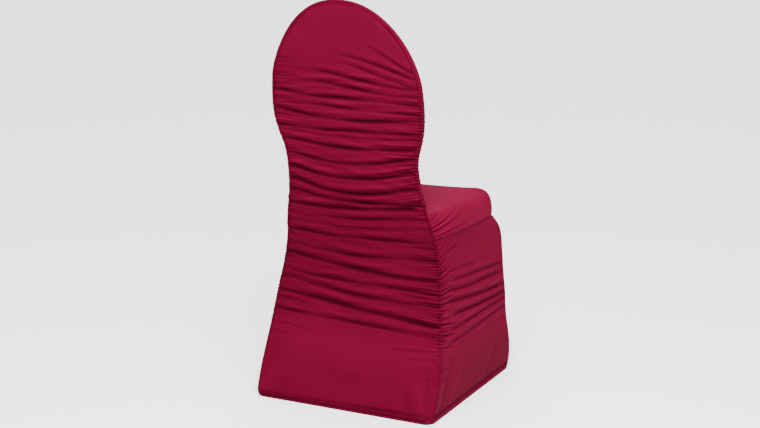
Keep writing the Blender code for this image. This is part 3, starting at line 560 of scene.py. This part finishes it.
def seat_section(place, angles):
    """Cross-section of the cushion from seam to seam, straight across the chair."""
    seam_x, y = side_seam(place)
    rounding = SHOULDER_ROUND + (CUSHION_ROUND - SHOULDER_ROUND) * ease(place / SHOULDER_REACH)
    flat = seam_x - rounding
    slope_x = flat + rounding * np.cos(angles) ** (2 / PROFILE_POWER)
    slope_z = SEAM_HEIGHT + (SEAT_HEIGHT - SEAM_HEIGHT) * np.sin(angles) ** (2 / PROFILE_POWER)
    top_x = flat * (1 - SEAT_COLUMNS)
    crown = cushion_height(top_x / flat * (SEAT_HALF_WIDTH - CUSHION_ROUND), y)
    half = np.column_stack([
        np.concatenate([slope_x, top_x]),
        np.full(len(slope_x) + len(top_x), y),
        np.concatenate([slope_z, crown]),
    ])
    return np.vstack([half, half[-2::-1] * (-1, 1, 1)])


def seat(back, rim, face):
    """Grid of the seat panel: its back row follows the shoulders and the backrest's foot."""
    left = back[SEAM_ROW:SEAT_ROW, 0]
    right = back[SEAM_ROW:SEAT_ROW, -1]
    first = np.vstack([left, rim[0], face[0, 1:-1], rim[-1, ::-1], right[::-1]])
    rise = np.clip((left[:, 2] - SEAM_HEIGHT) / (SEAT_HEIGHT - SEAM_HEIGHT), 0, 1)
    angles = np.arcsin(rise ** (PROFILE_POWER / 2))
    change = first - seat_section(0.0, angles)
    rows = [first]
    for place in SEAT_PLACES[1:]:
        if place <= ARC_PLACE:
            row = seat_section(place, angles) + change * (1 - ease(place / SHOULDER_REACH))
            side_x, side_y = side_seam(place)
            row[0] = (side_x, side_y, SEAM_HEIGHT)
            row[-1] = (-side_x, side_y, SEAM_HEIGHT)
            rows.append(row)
    last = rows[-1]
    front = seat_front_line()
    share = (front[0, 0] - front[:, 0]) / (front[0, 0] - front[-1, 0])
    for place in SEAT_PLACES[SEAT_PLACES > ARC_PLACE]:
        ahead = (place - ARC_PLACE) / (1 - ARC_PLACE)
        plan = last[:, :2] * (1 - ahead) + front * ahead
        side_x, side_y = side_seam(place)
        plan = plan + (np.array((side_x, side_y)) - plan[0]) * (1 - share)[:, None]
        plan = plan + (np.array((-side_x, side_y)) - plan[-1]) * share[:, None]
        height = cushion_height(plan[:, 0], plan[:, 1])
        height[[0, -1]] = SEAM_HEIGHT
        if place == 1:
            height[:] = SEAM_HEIGHT
        rows.append(np.column_stack([plan, height]))
    return np.array(rows)


def side_skirt(back, side):
    """Grid of one side skirt, hem to seam, from the back corner to the front corner."""
    edge = back[:SEAM_ROW + 1, 0 if side > 0 else -1]
    top = np.array([side_seam(place) for place in SIDE_PLACES])
    share = (top[0, 1] - top[:, 1]) / (top[0, 1] - top[-1, 1])
    top_length = edge[-1, 1] - top[-1, 1]
    level_x = abs(edge[-1, 0]) * (1 - share) + top[-1, 0] * share
    level_x = level_x + SEAM_INSET * ease(np.minimum(share, 1 - share) * top_length / EDGE_ROUND)
    level_y = edge[-1, 1] * (1 - share) + top[-1, 1] * share
    rows = []
    for x_back, y_back, height in edge:
        x_front = curve(FRONT_CORNER, height)
        y_front = curve(FRONT_CORNER, height, 2)
        x = abs(x_back) * (1 - share) + x_front * share
        y = y_back * (1 - share) + y_front * share
        from_seam = np.minimum(share, 1 - share) * (y_back - y_front)
        x = x + SEAM_INSET * ease(from_seam / EDGE_ROUND)
        near_top = math.exp(-(SEAM_HEIGHT - height) / SKIRT_BLEND)
        x = x + (top[:, 0] - level_x) * near_top
        y = y + (top[:, 1] - level_y) * near_top
        rows.append(np.column_stack([side * x, y, np.full(len(x), height)]))
    rows = np.array(rows)
    rows[-1, :, :2] = np.column_stack([side * top[:, 0], top[:, 1]])
    rows[:, 0] = edge
    return rows, share


def front_skirt(left, right):
    """Grid of the front skirt between the side skirts, left edge first."""
    line = seat_front_line()
    share = (line[0, 0] - line[:, 0]) / (line[0, 0] - line[-1, 0])
    rows = []
    for start, end in zip(left[:, -1], right[:, -1]):
        row = start * (1 - share)[:, None] + end * share[:, None]
        from_seam = np.minimum(share, 1 - share) * (start[0] - end[0])
        row[:, 1] -= EDGE_DROP * ease(from_seam / EDGE_ROUND)
        near_top = math.exp(-(SEAM_HEIGHT - start[2]) / SKIRT_BLEND)
        level = line[0, 1] - EDGE_DROP * ease(from_seam / EDGE_ROUND)
        row[:, 1] += (line[:, 1] - level) * near_top
        rows.append(row)
    rows = np.array(rows)
    rows[-1] = np.column_stack([line, np.full(len(line), SEAM_HEIGHT)])
    return rows


def lift_corners(grid):
    """Draw up the hem of one skirt panel at its two corners."""
    for column in (0, -1):
        from_corner = np.linalg.norm(grid[0] - grid[0, column], axis=1)
        near = ease(1 - from_corner / CORNER_REACH)
        low = np.clip(1 - grid[:, :, 2] / (2 * CORNER_REACH), 0, 1)
        foot = np.clip(1 - grid[:, :, 2] / CORNER_HEIGHT, 0, 1) ** 2
        outward = grid[0, column, :2] / np.linalg.norm(grid[0, column, :2])
        grid[:, :, :2] -= CORNER_PULL * (near * foot)[:, :, None] * outward
        grid[:, :, 2] += CORNER_LIFT * near * low
    return grid


def crease_profile(rise, strength):
    """Share of its depth that a crease has: a sharp bottom, a broad underside and a soft roll."""
    rise = rise / (strength / USUAL_DEPTH) ** WIDTH_POWER
    above = bell(rise, CREASE_ABOVE, ABOVE_POWER)
    profile = np.where(rise > 0, above, bell(rise, CREASE_BELOW, BELOW_POWER))
    for share, place, width in CREASE_RIDGES:
        profile = profile - share * bell(rise - place, width)
    return profile


def gather_profile(rise, reach):
    """Depth of one gather of depth 1, which reaches further above its bottom than below."""
    above, below = reach
    valley = bell(rise, np.where(rise > 0, above, below), GATHER_POWER)
    return valley - RIDGE_SHARE * bell(rise, RIDGE_WIDTH * (above + below))


def back_leans(side):
    """How the creases of the back lean near the seam of one side: height, slope."""
    leans = []
    for crease in sorted(BACK_CREASES, key=lambda crease: crease[2]):
        outer, inner = (crease[0], crease[1]) if side > 0 else (crease[4], crease[3])
        run = (STATIONS[0] - STATIONS[1]) * float(half_width(crease[2]))
        leans.append((crease[2], (inner - outer) / run))
    return leans


def make_gathers(table, seed):
    """Seeded list of gathers along a seam: place, share of the reach, depth and turn."""
    low, high, close, wide, shallow, deep = table
    random = np.random.default_rng(seed)
    place = low
    gathers = []
    while place < high:
        reach = random.random() ** 2
        depth = random.uniform(shallow, deep)
        gathers.append((place, reach, depth, random.uniform(-GATHER_TURN, GATHER_TURN)))
        place += random.uniform(close, wide)
    return gathers


def seam_gathers(side):
    """The short gathers of the seam at one side of the back."""
    share = LEFT_SHARE if side > 0 else 1.0
    return [
        (place, reach, share * depth * curve(SEAM_STRENGTH, place), turn)
        for place, reach, depth, turn in make_gathers(BACK_SEAM_GATHERS, BACK_SEAM_SEEDS[side])
    ]


def front_gathers(side):
    """The short gathers of one front corner's seam."""
    return make_gathers(FRONT_SEAM_GATHERS, FRONT_SEAM_SEEDS[side])


def spread(gathers, reach, leans, gain=1.0):
    """Gathers with their lengths, depths and slopes in one panel; a table says how they lean."""
    short, long = reach
    laid = []
    for place, part, depth, turn in gathers:
        lean = np.interp(place, *zip(*leans)) + turn
        laid.append((place, short + (long - short) * part, gain * depth, lean))
    return laid


def seam_depth(points):
    """Depth of the gathers right on the seams, the same for both panels that meet there."""
    x, y, z = points[..., 0], points[..., 1], points[..., 2]
    depth = np.zeros(z.shape)
    for side in (1, -1):
        aside = side * x > SEAMS_ASIDE
        behind = aside & (y > BACK_SEAMS_FROM)
        before = aside & (y < FRONT_SEAMS_TO) & (z < SEAM_HEIGHT - SKIRT_BLEND)
        for here, gathers in ((behind, seam_gathers(side)), (before, front_gathers(side))):
            for place, _, strength, _ in gathers:
                depth = depth + np.where(here, strength * gather_profile(z - place, FINE), 0)
    return depth


def seam_proud(points):
    """How far the seams of the back and of the front corners stand out."""
    y, z = points[..., 1], points[..., 2]
    behind = ease(1 - (back_y(z) - y) / SEAM_PROUD_END)
    before = np.where(y < FRONT_SEAMS_TO, ease((FRONT_PROUD_TOP - z) / FRONT_PROUD_FADE), 0)
    return SEAM_PROUD * np.maximum(behind, before)


def gather_depth(gathers, away, along, reach=FINE):
    """Depth of the gathers at a distance away from the seam and a place along it."""
    depth = np.zeros(np.broadcast(away, along).shape)
    for place, length, strength, lean in gathers:
        fade = bell(away, length)
        depth += strength * fade * gather_profile(along - place - lean * away, reach)
    return depth


def waves(across, along, seed, size):
    """Low, long unevenness of cloth that is drawn together along its length."""
    random = np.random.default_rng(seed)
    total = np.zeros(np.broadcast(across, along).shape)
    for _ in range(WAVE_COUNT):
        wide = 2 * math.pi / random.uniform(*WAVE_WIDTHS) * random.choice((-1, 1))
        high = 2 * math.pi / random.uniform(*WAVE_HEIGHTS)
        total += np.sin(wide * across + high * along + random.uniform(0, 2 * math.pi))
    return size * total / math.sqrt(WAVE_COUNT)


def within(z, span):
    """1 between two heights, easing to 0 at each."""
    low, low_fade, high, high_fade = span
    return ease((z - low) / low_fade) * ease((high - z) / high_fade)


def back_creases(u, z):
    """Depth of the outside back's long and short creases."""
    depth = np.zeros(z.shape)
    for crease in BACK_CREASES:
        *heights, strength, start, end = crease
        height = smooth_height(u, heights)
        share = ease((u - end) / CREASE_FADE + 0.5)
        if start < 1:
            share = share * ease((start - u) / (SLOW_START * CREASE_FADE) + 0.5)
        for side, (easing, place) in EASING.items():
            share = share * (1 - easing * ease((side * u - place) / (1 - place)))
        turns = UNEVEN_TURNS * u + UNEVEN_STAGGER * heights[0]
        uneven = 1 + CREASE_UNEVEN * np.sin(2 * math.pi * turns)
        depth += CREASE_GAIN * strength * share * uneven * crease_profile(z - height, strength)
    for start, end, z_start, z_end, strength in SHORT_CREASES:
        height = z_start + (z_end - z_start) * (start - u) / (start - end)
        outer, inner = max(abs(start), abs(end)), min(abs(start), abs(end))
        share = ease((np.abs(u) - inner) / SHORT_FADE)
        if outer < 1:
            share = share * ease((outer + SHORT_PAST - np.abs(u)) / SHORT_END)
        one = strength * share * crease_profile(z - height, strength)
        depth += np.where(np.sign(u) == np.sign(start), one, 0)
    return depth


def back_folds(grid, u):
    """Depth of the outside back's creases, gathers, foot folds and seam band."""
    x, z = grid[:, :, 0], grid[:, :, 2]
    depth = back_creases(u, z) - waves(x, z, *BACK_WAVES) * within(z, BACK_WAVE_SPAN)
    edge_line = np.vstack([grid[:, 0], grid[-1, 1:-1], grid[::-1, -1]])
    depth += seam_band(distance_to(grid, edge_line), z) + foot_folds(x, z, BACK_FOOT_FOLDS)
    for side in (1, -1):
        away = np.abs(grid[:, :1, 0]) - side * x
        leans = back_leans(side)
        short = [
            (place, length * curve(BACK_REACH_SHARE, place), strength, lean)
            for place, length, strength, lean in spread(seam_gathers(side), BACK_REACH, leans)
        ]
        depth += gather_depth(short, away, z)
        long = make_gathers(BACK_LONG_GATHERS, BACK_LONG_SEEDS[side])
        depth += gather_depth(spread(long, LONG_REACH, leans), away, z, LONG)
    return depth


def foot_folds(along, z, folds):
    """Depth of the soft straight folds at the foot of a panel."""
    depth = np.zeros(np.broadcast(along, z).shape)
    for start_along, start_z, end_along, end_z, width, strength in folds:
        run, rise = end_along - start_along, end_z - start_z
        part = ((along - start_along) * run + (z - start_z) * rise) / (run ** 2 + rise ** 2)
        part = np.clip(part, 0, 1)
        aside = np.hypot(along - start_along - part * run, z - start_z - part * rise)
        along_fold = np.sin(math.pi * (FOLD_END + (1 - 2 * FOLD_END) * part))
        depth += strength * along_fold * bell(aside, width)
    return depth


def seam_band(inside, z):
    """The edge of a panel turns over to its seam in a narrow band."""
    region = ease((z - BAND_FROM) / (2 * BAND_FROM))
    groove = BAND_GROOVE * bell(inside - BAND_WIDTH, BAND_SOFTNESS)
    step = BAND_STEP * ease((BAND_WIDTH - inside) / BAND_SOFTNESS + 0.5)
    return region * (groove + step)


def smooth_height(u, heights):
    """Height of a crease across the back, smooth through its five stations."""
    table = [(-place, height) for place, height in zip(STATIONS, heights)]
    return curve(table, -u)


def hem(z, rise, width, depth):
    """The turned hem, and the groove that lies above it by rise."""
    groove = bell(z - HEM_TOP - rise, width)
    return depth * groove - HEM_PROUD * ease((HEM_TOP - z) / HEM_EASE + 0.5)


def back_hem(u, z):
    """The hem of the back: its groove is deepest a little to the chair's right."""
    rise, width, depth = BACK_HEM
    more, middle, reach = BACK_HEM_DEEPER
    depth = depth + more * bell(u - middle, reach)
    return hem(z, rise - BACK_HEM_SLANT * u, width, depth)


def side_folds(grid, share, side):
    """Depth of a side skirt's creases, gathers, foot folds and seam band."""
    z = grid[:, :, 2]
    s = np.broadcast_to(share[None, :], z.shape)
    lift = 0.0 if side < 0 else FAR_SIDE_LIFT
    depth = np.zeros(z.shape)
    for crease in SIDE_CREASES:
        *heights, strength, start, end = crease
        height = curve(list(zip(SIDE_STATIONS, heights)), s) + lift
        start = max(start, SIDE_START)
        part = ease((s - start) / CREASE_FADE + 0.5) * ease((end - s) / CREASE_FADE + 0.5)
        depth += CREASE_GAIN * strength * part * crease_profile(z - height, strength)
    length = grid[:, :1, 1] - grid[:, -1:, 1]
    away = s * length
    depth -= waves(away, z, *SIDE_WAVES) * within(z, SIDE_WAVE_SPAN)
    short = spread(seam_gathers(side), SIDE_REACH, SIDE_FAN, SIDE_GAIN)
    long = make_gathers(SIDE_LONG_GATHERS, SIDE_LONG_SEEDS[side])
    at_front = spread(front_gathers(side), FRONT_REACH_ASIDE, FRONT_FAN)
    depth += gather_depth(short, away, z)
    depth += gather_depth(spread(long, LONG_REACH, SIDE_FAN), away, z, LONG)
    depth += gather_depth(at_front, (1 - s) * length, z)
    depth += foot_folds(away, z, SIDE_FOOT_FOLDS)
    return depth + seam_band(away, z) * ease((SEAM_HEIGHT - z) / BAND_EASE)


def rim_folds(rim):
    """Depth of the short gathers where the inside back is sewn to the ruched back."""
    depth = np.zeros(rim.shape[:2])
    half = len(rim) // 2
    for rows, side in ((slice(None, half), 1), (slice(half, None), -1)):
        part = rim[rows]
        away = np.linalg.norm(part - part[:, :1], axis=2)
        gathers = spread(seam_gathers(side), RIM_REACH, NO_FAN)
        depth[rows] = gather_depth(gathers, away, part[:, :, 2])
    return depth * ease((RIM_PLACES[-1] - RIM_PLACES) / RIM_FADE)[None, :]


def seat_folds(grid):
    """Depth of the gathers that fan out from the shoulders over the cushion's sides."""
    depth = np.zeros(grid.shape[:2])
    away = np.linalg.norm(grid - grid[:1], axis=2)
    slope_end = SEAT_ROW - SEAM_ROW
    for columns, side in ((slice(0, slope_end), 1), (slice(-slope_end, None), -1)):
        gathers = spread(seam_gathers(side), SEAT_REACH, SEAT_FAN, SEAT_GAIN)
        depth[:, columns] = gather_depth(gathers, away[:, columns], grid[:1, columns, 2])
    return depth


def grid_normals(grid, outward):
    """Unit normals of a grid, on the side that a given direction points to."""
    normals = np.cross(np.gradient(grid, axis=1), np.gradient(grid, axis=0))
    length = np.linalg.norm(normals, axis=2, keepdims=True)
    normals = normals / np.maximum(length, 1e-12)
    middle = normals[normals.shape[0] // 2, normals.shape[1] // 2]
    return normals if np.dot(middle, outward) > 0 else -normals


# The start and end columns and the low and high rows of a grid
SIDES = {
    "start": (slice(None), slice(0, 1)),
    "end": (slice(None), slice(-1, None)),
    "low": (slice(0, 1), slice(None)),
    "high": (slice(-1, None), slice(None)),
}
BESIDE_AND_HIGH = ("start", "end", "high")


def side_distances(grid):
    """Distance of each vertex from the start and end columns and the low and high rows."""
    steps_across = np.linalg.norm(np.diff(grid, axis=1, prepend=grid[:, :1]), axis=2)
    steps_along = np.linalg.norm(np.diff(grid, axis=0, prepend=grid[:1]), axis=2)
    across = np.cumsum(steps_across, axis=1)
    along = np.cumsum(steps_along, axis=0)
    end, high = across[:, -1:] - across, along[-1:] - along
    return {"start": across, "end": end, "low": along, "high": high}


def foot_painted_shade(z):
    """Painted shade: the cloth is painted darker at its foot, most of all along the hem's lower
    edge.
    """
    slack = FOOT_PAINTED_SHADE * ease((FOOT_TOP - z) / FOOT_FADE)
    return slack + HEM_PAINTED_SHADE * bell(z, HEM_PAINTED_SHADE_HEIGHT)


class Panel:
    """One grid of a sewn panel, with its normals, its seams and how deep it is folded."""

    def __init__(self, name, grid, outward, seams, depth, tone_and_painted_shade=0.0):
        self.name = name
        self.grid = grid
        self.normals = grid_normals(grid, outward)
        self.seams = seams
        self.depth = depth
        # painted shade laid over the panel's whole colour
        self.tone_and_painted_shade = tone_and_painted_shade
        self.away = side_distances(grid)

    def lean(self, tree, entries):
        """Near a seam, turn the normals to the direction that both panels share there."""
        normals = self.normals.copy()
        for side in self.seams:
            edge = self.grid[SIDES[side]]
            shared = np.zeros(edge.shape)
            for index in np.ndindex(edge.shape[:2]):
                found = {}
                for _, number, _ in tree.find_range(edge[index], SEAM_CATCH):
                    owner, _, direction = entries[number]
                    found.setdefault(owner, []).append(direction)
                total = sum(np.mean(group, axis=0) for group in found.values())
                shared[index] = total / np.linalg.norm(total)
            near = bell(self.away[side], SEAM_LEAN)[:, :, None]
            normals = normals * (1 - near) + shared * near
        self.leaning = normals / np.linalg.norm(normals, axis=2, keepdims=True)

    def sink(self):
        """Fold the cloth; near a seam both panels fold alike, and the seam lies a little deep."""
        depth = self.depth.copy()
        for side in self.seams:
            near = bell(self.away[side], SEAM_BLEND)
            depth = depth * (1 - near) + seam_depth(self.grid[SIDES[side]]) * near
        # The shade is painted shade as deep as the cloth is folded in and painted highlight on its
        # ridges, with more painted shade over the ruched back, the foot and the hem
        self.shade = depth + self.tone_and_painted_shade + foot_painted_shade(self.grid[:, :, 2])
        for side in self.seams:
            away = self.away[side]
            proud = seam_proud(self.grid[SIDES[side]]) * bell(away, SEAM_PROUD_WIDTH)
            depth = depth + SEAM_VALLEY * bell(away, SEAM_WIDTH) - proud
            # painted shade along each seam
            self.shade = self.shade + SEAM_PAINTED_SHADE * bell(away, SEAM_PAINTED_SHADE_WIDTH)
        return self.grid - self.leaning * depth[:, :, None]


def lean_panels(panels):
    """Let panels that meet at a seam lean the same way there."""
    entries = []
    for panel in panels:
        for side in panel.seams:
            points = panel.grid[SIDES[side]].reshape(-1, 3)
            normals = panel.normals[SIDES[side]].reshape(-1, 3)
            entries += [(panel.name, point, normal) for point, normal in zip(points, normals)]
    tree = tree_of([point for _, point, _ in entries])
    for panel in panels:
        panel.lean(tree, entries)


def turn_hem(points, normals):
    """Rows of the hem that is turned up inside, added below the first row of a grid."""
    first = points[0]
    inward = -normals[0].copy()
    inward[:, 2] = 0
    inward /= np.linalg.norm(inward, axis=1, keepdims=True)
    rows = []
    for depth, height in HEM_TURN[::-1]:
        row = first + inward * depth
        row[:, 2] = first[:, 2] + height
        rows.append(row)
    return np.concatenate([np.array(rows), points])


def add_object(name, data):
    """Put a new object in the scene."""
    item = bpy.data.objects.new(name, data)
    bpy.context.scene.collection.objects.link(item)
    return item


def add_sheet(name, parts, material, weld):
    """One mesh object made of one or more grids, with cloth coordinates and a fold value that sets
    its painted shade and highlight.
    """
    mesh_points = []
    mesh_faces = []
    fold = []
    cloth = []
    offset = 0
    for grid, depth, flip in parts:
        rows, columns = grid.shape[:2]
        ids = offset + np.arange(rows * columns).reshape(rows, columns)
        corners = (ids[:-1, :-1], ids[:-1, 1:], ids[1:, 1:], ids[1:, :-1])
        faces = np.stack(corners, axis=-1).reshape(-1, 4)
        mesh_faces.append(faces[:, ::-1] if flip else faces)
        mesh_points.append(grid.reshape(-1, 3))
        fold.append(depth.reshape(-1))
        away = side_distances(grid)
        middle = np.meshgrid(away["start"][rows // 2], away["low"][:, columns // 2])
        cloth.append(np.stack(middle, axis=-1).reshape(-1, 2))
        offset += rows * columns
    points = np.concatenate(mesh_points)
    faces = np.concatenate(mesh_faces)
    mesh = bpy.data.meshes.new(name)
    mesh.from_pydata(points.tolist(), [], faces.tolist())
    layer = mesh.uv_layers.new(name="cloth")
    corner_vertex = np.zeros(len(mesh.loops), dtype=np.int32)
    mesh.loops.foreach_get("vertex_index", corner_vertex)
    layer.data.foreach_set("uv", np.concatenate(cloth)[corner_vertex].reshape(-1))
    attribute = mesh.attributes.new("fold", "FLOAT", "POINT")
    attribute.data.foreach_set("value", np.concatenate(fold))
    if weld:
        edit = bmesh.new()
        edit.from_mesh(mesh)
        bmesh.ops.remove_doubles(edit, verts=edit.verts, dist=weld)
        edit.to_mesh(mesh)
        edit.free()
    mesh.shade_smooth()
    mesh.materials.append(material)
    return add_object(name, mesh)


# Cloth: its colours, a painted highlight colour for ridges and a painted shade colour for creases,
# the fold depths from the one to the other, and where between them crimson stands
CRIMSON = (0.076, 0.0019, 0.0124)
PAINTED_SHADE_CRIMSON = (0.031, 0.0010, 0.0045)
PAINTED_HIGHLIGHT_CRIMSON = (0.100, 0.0022, 0.0165)
FOLD_RANGE = (-0.0015, 0.0055)
CRIMSON_AT = 0.24
SURFACE = {
    "Metallic": 0.0,
    "IOR": 1.02,
    "Specular IOR Level": 0.50,
    "Sheen Roughness": 0.35,
    "Sheen Tint": (1.0, 0.20, 0.40, 1.0),
}
# Unevenness of colour and gloss
CLOUD = {"Scale": 7.0, "Detail": 4.0, "Roughness": 0.55}
CLOUD_RANGE = (0.3, 0.7)
TONE_RANGE = (0.94, 1.06)
GLOSS_RANGE = (0.46, 0.54)
# Knit and lengthwise stretch lines
WALE = 0.0011              # spacing of the knit's columns
COURSE = 0.0008            # and of its rows
KNIT_BUMP = {"Strength": 0.25, "Distance": 0.00012}
LINE_SCALE = (9.0, 90.0, 1.0)
LINES = {"Scale": 1.0, "Detail": 3.0, "Roughness": 0.5}
LINE_BUMP = {"Strength": 0.35, "Distance": 0.0010}

# Sheets: name, its grids, lightness (painted light and shade: each sheet's copy of the cloth made
# lighter or darker to match how it is lit), sheen, flat size and cloth area
SHEETS = (
    ("outside_back", ("back",), 0.95, 0.02, (0.463, 1.32), 0.50),
    ("inside_back", ("rim", "face"), 0.92, 0.03, (0.46, 0.58), 0.20),
    ("seat", ("seat",), 1.12, 0.06, (0.54, 0.36), 0.175),
    ("side_skirt_left", ("left",), 1.00, 0.03, (0.47, 0.58), 0.21),
    ("side_skirt_right", ("right",), 1.00, 0.03, (0.47, 0.58), 0.21),
    ("front_skirt", ("front",), 1.10, 0.03, (0.44, 0.43), 0.185),
)
FLIPPED = ("rim", "face", "left", "front")     # grids whose faces turn the other way
WELD = 0.00002             # points of two grids this close become one


def node(tree, kind, **values):
    """Add one shader node, set its properties and inputs, and join inputs to given outputs."""
    item = tree.nodes.new(kind)
    for key, value in values.items():
        if hasattr(item, key):
            setattr(item, key, value)
        elif isinstance(value, bpy.types.NodeSocket):
            tree.links.new(value, item.inputs[key])
        else:
            item.inputs[key].default_value = value
    return item


def map_range(tree, value, start, end=(0.0, 1.0)):
    """Map an output from one range to another."""
    ends = {"From Min": start[0], "From Max": start[1], "To Min": end[0], "To Max": end[1]}
    return node(tree, "ShaderNodeMapRange", Value=value, **ends).outputs["Result"]


def cloth_material(name, shade, sheen):
    """Satin-faced stretch knit: crimson, with painted shade where it is folded in and a painted
    highlight on its ridges.
    """
    material = bpy.data.materials.new(name)
    material.use_nodes = True
    tree = material.node_tree
    shader = tree.nodes["Principled BSDF"]
    for key, value in SURFACE.items():
        shader.inputs[key].default_value = value
    shader.inputs["Sheen Weight"].default_value = sheen

    # The fold value picks the colour: painted shade in creases, at seams, foot, hem and over the
    # ruched back, and a painted highlight on ridges
    fold = node(tree, "ShaderNodeAttribute", attribute_name="fold").outputs["Fac"]
    ramp = node(tree, "ShaderNodeValToRGB", Fac=map_range(tree, fold, FOLD_RANGE))
    stops = ramp.color_ramp.elements
    stops.new(CRIMSON_AT)
    for stop, color in zip(stops, (PAINTED_HIGHLIGHT_CRIMSON, CRIMSON, PAINTED_SHADE_CRIMSON)):
        # each sheet's lightness makes its copy of the cloth lighter or darker: painted light and
        # shade
        stop.color = (*(shade * part for part in color), 1.0)
    place = node(tree, "ShaderNodeTexCoord").outputs
    cloud = node(tree, "ShaderNodeTexNoise", Vector=place["Object"], **CLOUD).outputs["Fac"]
    tone_and_painted_shade = map_range(tree, cloud, CLOUD_RANGE, TONE_RANGE)
    tint = node(tree, "ShaderNodeHueSaturation", Value=tone_and_painted_shade, Color=ramp.outputs["Color"])

    knit = node(tree, "ShaderNodeMath", operation="MULTIPLY")
    for socket, axis, spacing in ((0, "X", WALE), (1, "Y", COURSE)):
        ribs = node(tree, "ShaderNodeTexWave", Vector=place["UV"], bands_direction=axis,
                    Scale=2 * math.pi / (20 * spacing))
        tree.links.new(ribs.outputs["Fac"], knit.inputs[socket])
    knit_bump = node(tree, "ShaderNodeBump", Height=knit.outputs["Value"], **KNIT_BUMP)
    stretch = node(tree, "ShaderNodeMapping", Vector=place["UV"], Scale=LINE_SCALE)
    lines = node(tree, "ShaderNodeTexNoise", Vector=stretch.outputs["Vector"], **LINES)
    line_bump = node(tree, "ShaderNodeBump", Height=lines.outputs["Fac"],
                     Normal=knit_bump.outputs["Normal"], **LINE_BUMP)
    tree.links.new(tint.outputs["Color"], shader.inputs["Base Color"])
    tree.links.new(map_range(tree, cloud, CLOUD_RANGE, GLOSS_RANGE), shader.inputs["Roughness"])
    tree.links.new(line_bump.outputs["Normal"], shader.inputs["Normal"])
    return material


def build_cover():
    back = outside_back()
    rim, face = inside_back()
    seat_grid = seat(back, rim, face)
    left, share = side_skirt(back, +1)
    right, _ = side_skirt(back, -1)
    front = front_skirt(left, right)
    front = front[[*range(HEM_ROWS), *range(HEM_ROWS, SEAM_ROW, FRONT_STEP), SEAM_ROW]]
    for grid in (back, left, right, front):
        lift_corners(grid)

    u = np.broadcast_to(ACROSS[None, :], back.shape[:2])
    back_depth = back_folds(back, u) + back_hem(u, back[:, :, 2])
    left_depth = side_folds(left, share, +1) + hem(left[:, :, 2], *SIDE_HEM)
    right_depth = side_folds(right, share, -1) + hem(right[:, :, 2], *SIDE_HEM)
    front_depth = hem(front[:, :, 2], *FRONT_HEM)
    panels = {
        "back": Panel("outside_back", back, (0, 1, 0), BESIDE_AND_HIGH, back_depth,
                      curve(RUCHED_PAINTED_SHADE, back[:, :, 2])),
        "rim": Panel("inside_back", rim, (0, 0, 1), ("start", "low", "high"), rim_folds(rim)),
        "face": Panel("inside_back", face, (0, -1, 0), ("low",), np.zeros(face.shape[:2])),
        "seat": Panel("seat", seat_grid, (0, 0, 1), tuple(SIDES), seat_folds(seat_grid)),
        "left": Panel("side_skirt_left", left, (1, 0, 0), BESIDE_AND_HIGH, left_depth),
        "right": Panel("side_skirt_right", right, (-1, 0, 0), BESIDE_AND_HIGH, right_depth),
        "front": Panel("front_skirt", front, (0, -1, 0), BESIDE_AND_HIGH, front_depth),
    }
    lean_panels(list(panels.values()))
    surfaces = {name: panel.sink() for name, panel in panels.items()}
    for name in ("back", "left", "right", "front"):
        surfaces[name] = turn_hem(surfaces[name], panels[name].leaning)
        hem_shade = np.repeat(panels[name].shade[:1], len(HEM_TURN), axis=0)
        panels[name].shade = np.concatenate([hem_shade, panels[name].shade])

    for name, keys, shade, sheen, flat, area in SHEETS:
        material = cloth_material(name + "_cloth", shade, sheen)
        parts = [(surfaces[key], panels[key].shade, key in FLIPPED) for key in keys]
        piece = add_sheet(name + "_sheet", parts, material, WELD if len(parts) > 1 else 0)
        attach(piece, "root")
        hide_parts(name)


def add_lamp(name, kind, place, target, strength):
    """A light aimed at a point."""
    lamp = bpy.data.lights.new(name, kind)
    lamp.energy = strength
    holder = add_object(name, lamp)
    holder.location = place
    aim = Vector(target) - Vector(place)
    holder.rotation_euler = aim.to_track_quat("-Z", "Y").to_euler()
    return lamp


def heading(turn, rise):
    """Direction with a bearing from +Y towards -X and an angle above the level."""
    flat = math.cos(rise)
    return Vector((-math.sin(turn) * flat, math.cos(turn) * flat, math.sin(rise)))


def build_stage():
    """Camera, lights, a pale floor and a white surround."""
    camera_data = bpy.data.cameras.new("camera")
    camera_data.lens = CAMERA_LENS
    camera_data.sensor_width = SENSOR_WIDTH
    camera_data.clip_end = CAMERA_FAR
    camera = add_object("camera", camera_data)
    camera.location = CAMERA_PLACE
    ahead = heading(math.pi + CAMERA_YAW, CAMERA_PITCH)
    camera.rotation_euler = ahead.to_track_quat("-Z", "Y").to_euler()
    bpy.context.scene.camera = camera

    world = bpy.data.worlds.new("surround")
    world.use_nodes = True
    background = world.node_tree.nodes["Background"].inputs
    background["Color"].default_value = (1.0, 1.0, 1.0, 1.0)
    background["Strength"].default_value = WORLD_STRENGTH
    bpy.context.scene.world = world

    add_lamp("key", "AREA", KEY_PLACE, KEY_TARGET, KEY_POWER).size = KEY_SIZE
    for name, bearing, height, softness, strength in SUNS:
        towards = heading(math.radians(bearing), math.radians(height))
        lamp = add_lamp(name, "SUN", towards * SUN_DISTANCE, (0.0, 0.0, 0.0), strength)
        lamp.angle = math.radians(softness)

    floor_mesh = bpy.data.meshes.new("floor")
    turns = ((-1, -1), (1, -1), (1, 1), (-1, 1))
    corners = [(x * FLOOR_REACH, y * FLOOR_REACH, 0.0) for x, y in turns]
    floor_mesh.from_pydata(corners, [], [(0, 1, 2, 3)])
    paint = bpy.data.materials.new("floor_paint")
    paint.use_nodes = True
    shader = paint.node_tree.nodes["Principled BSDF"]
    shader.inputs["Base Color"].default_value = FLOOR_GREY
    shader.inputs["Roughness"].default_value = FLOOR_ROUGHNESS
    floor_mesh.materials.append(paint)
    floor = add_object("floor", floor_mesh)


build_cover()
build_stage()
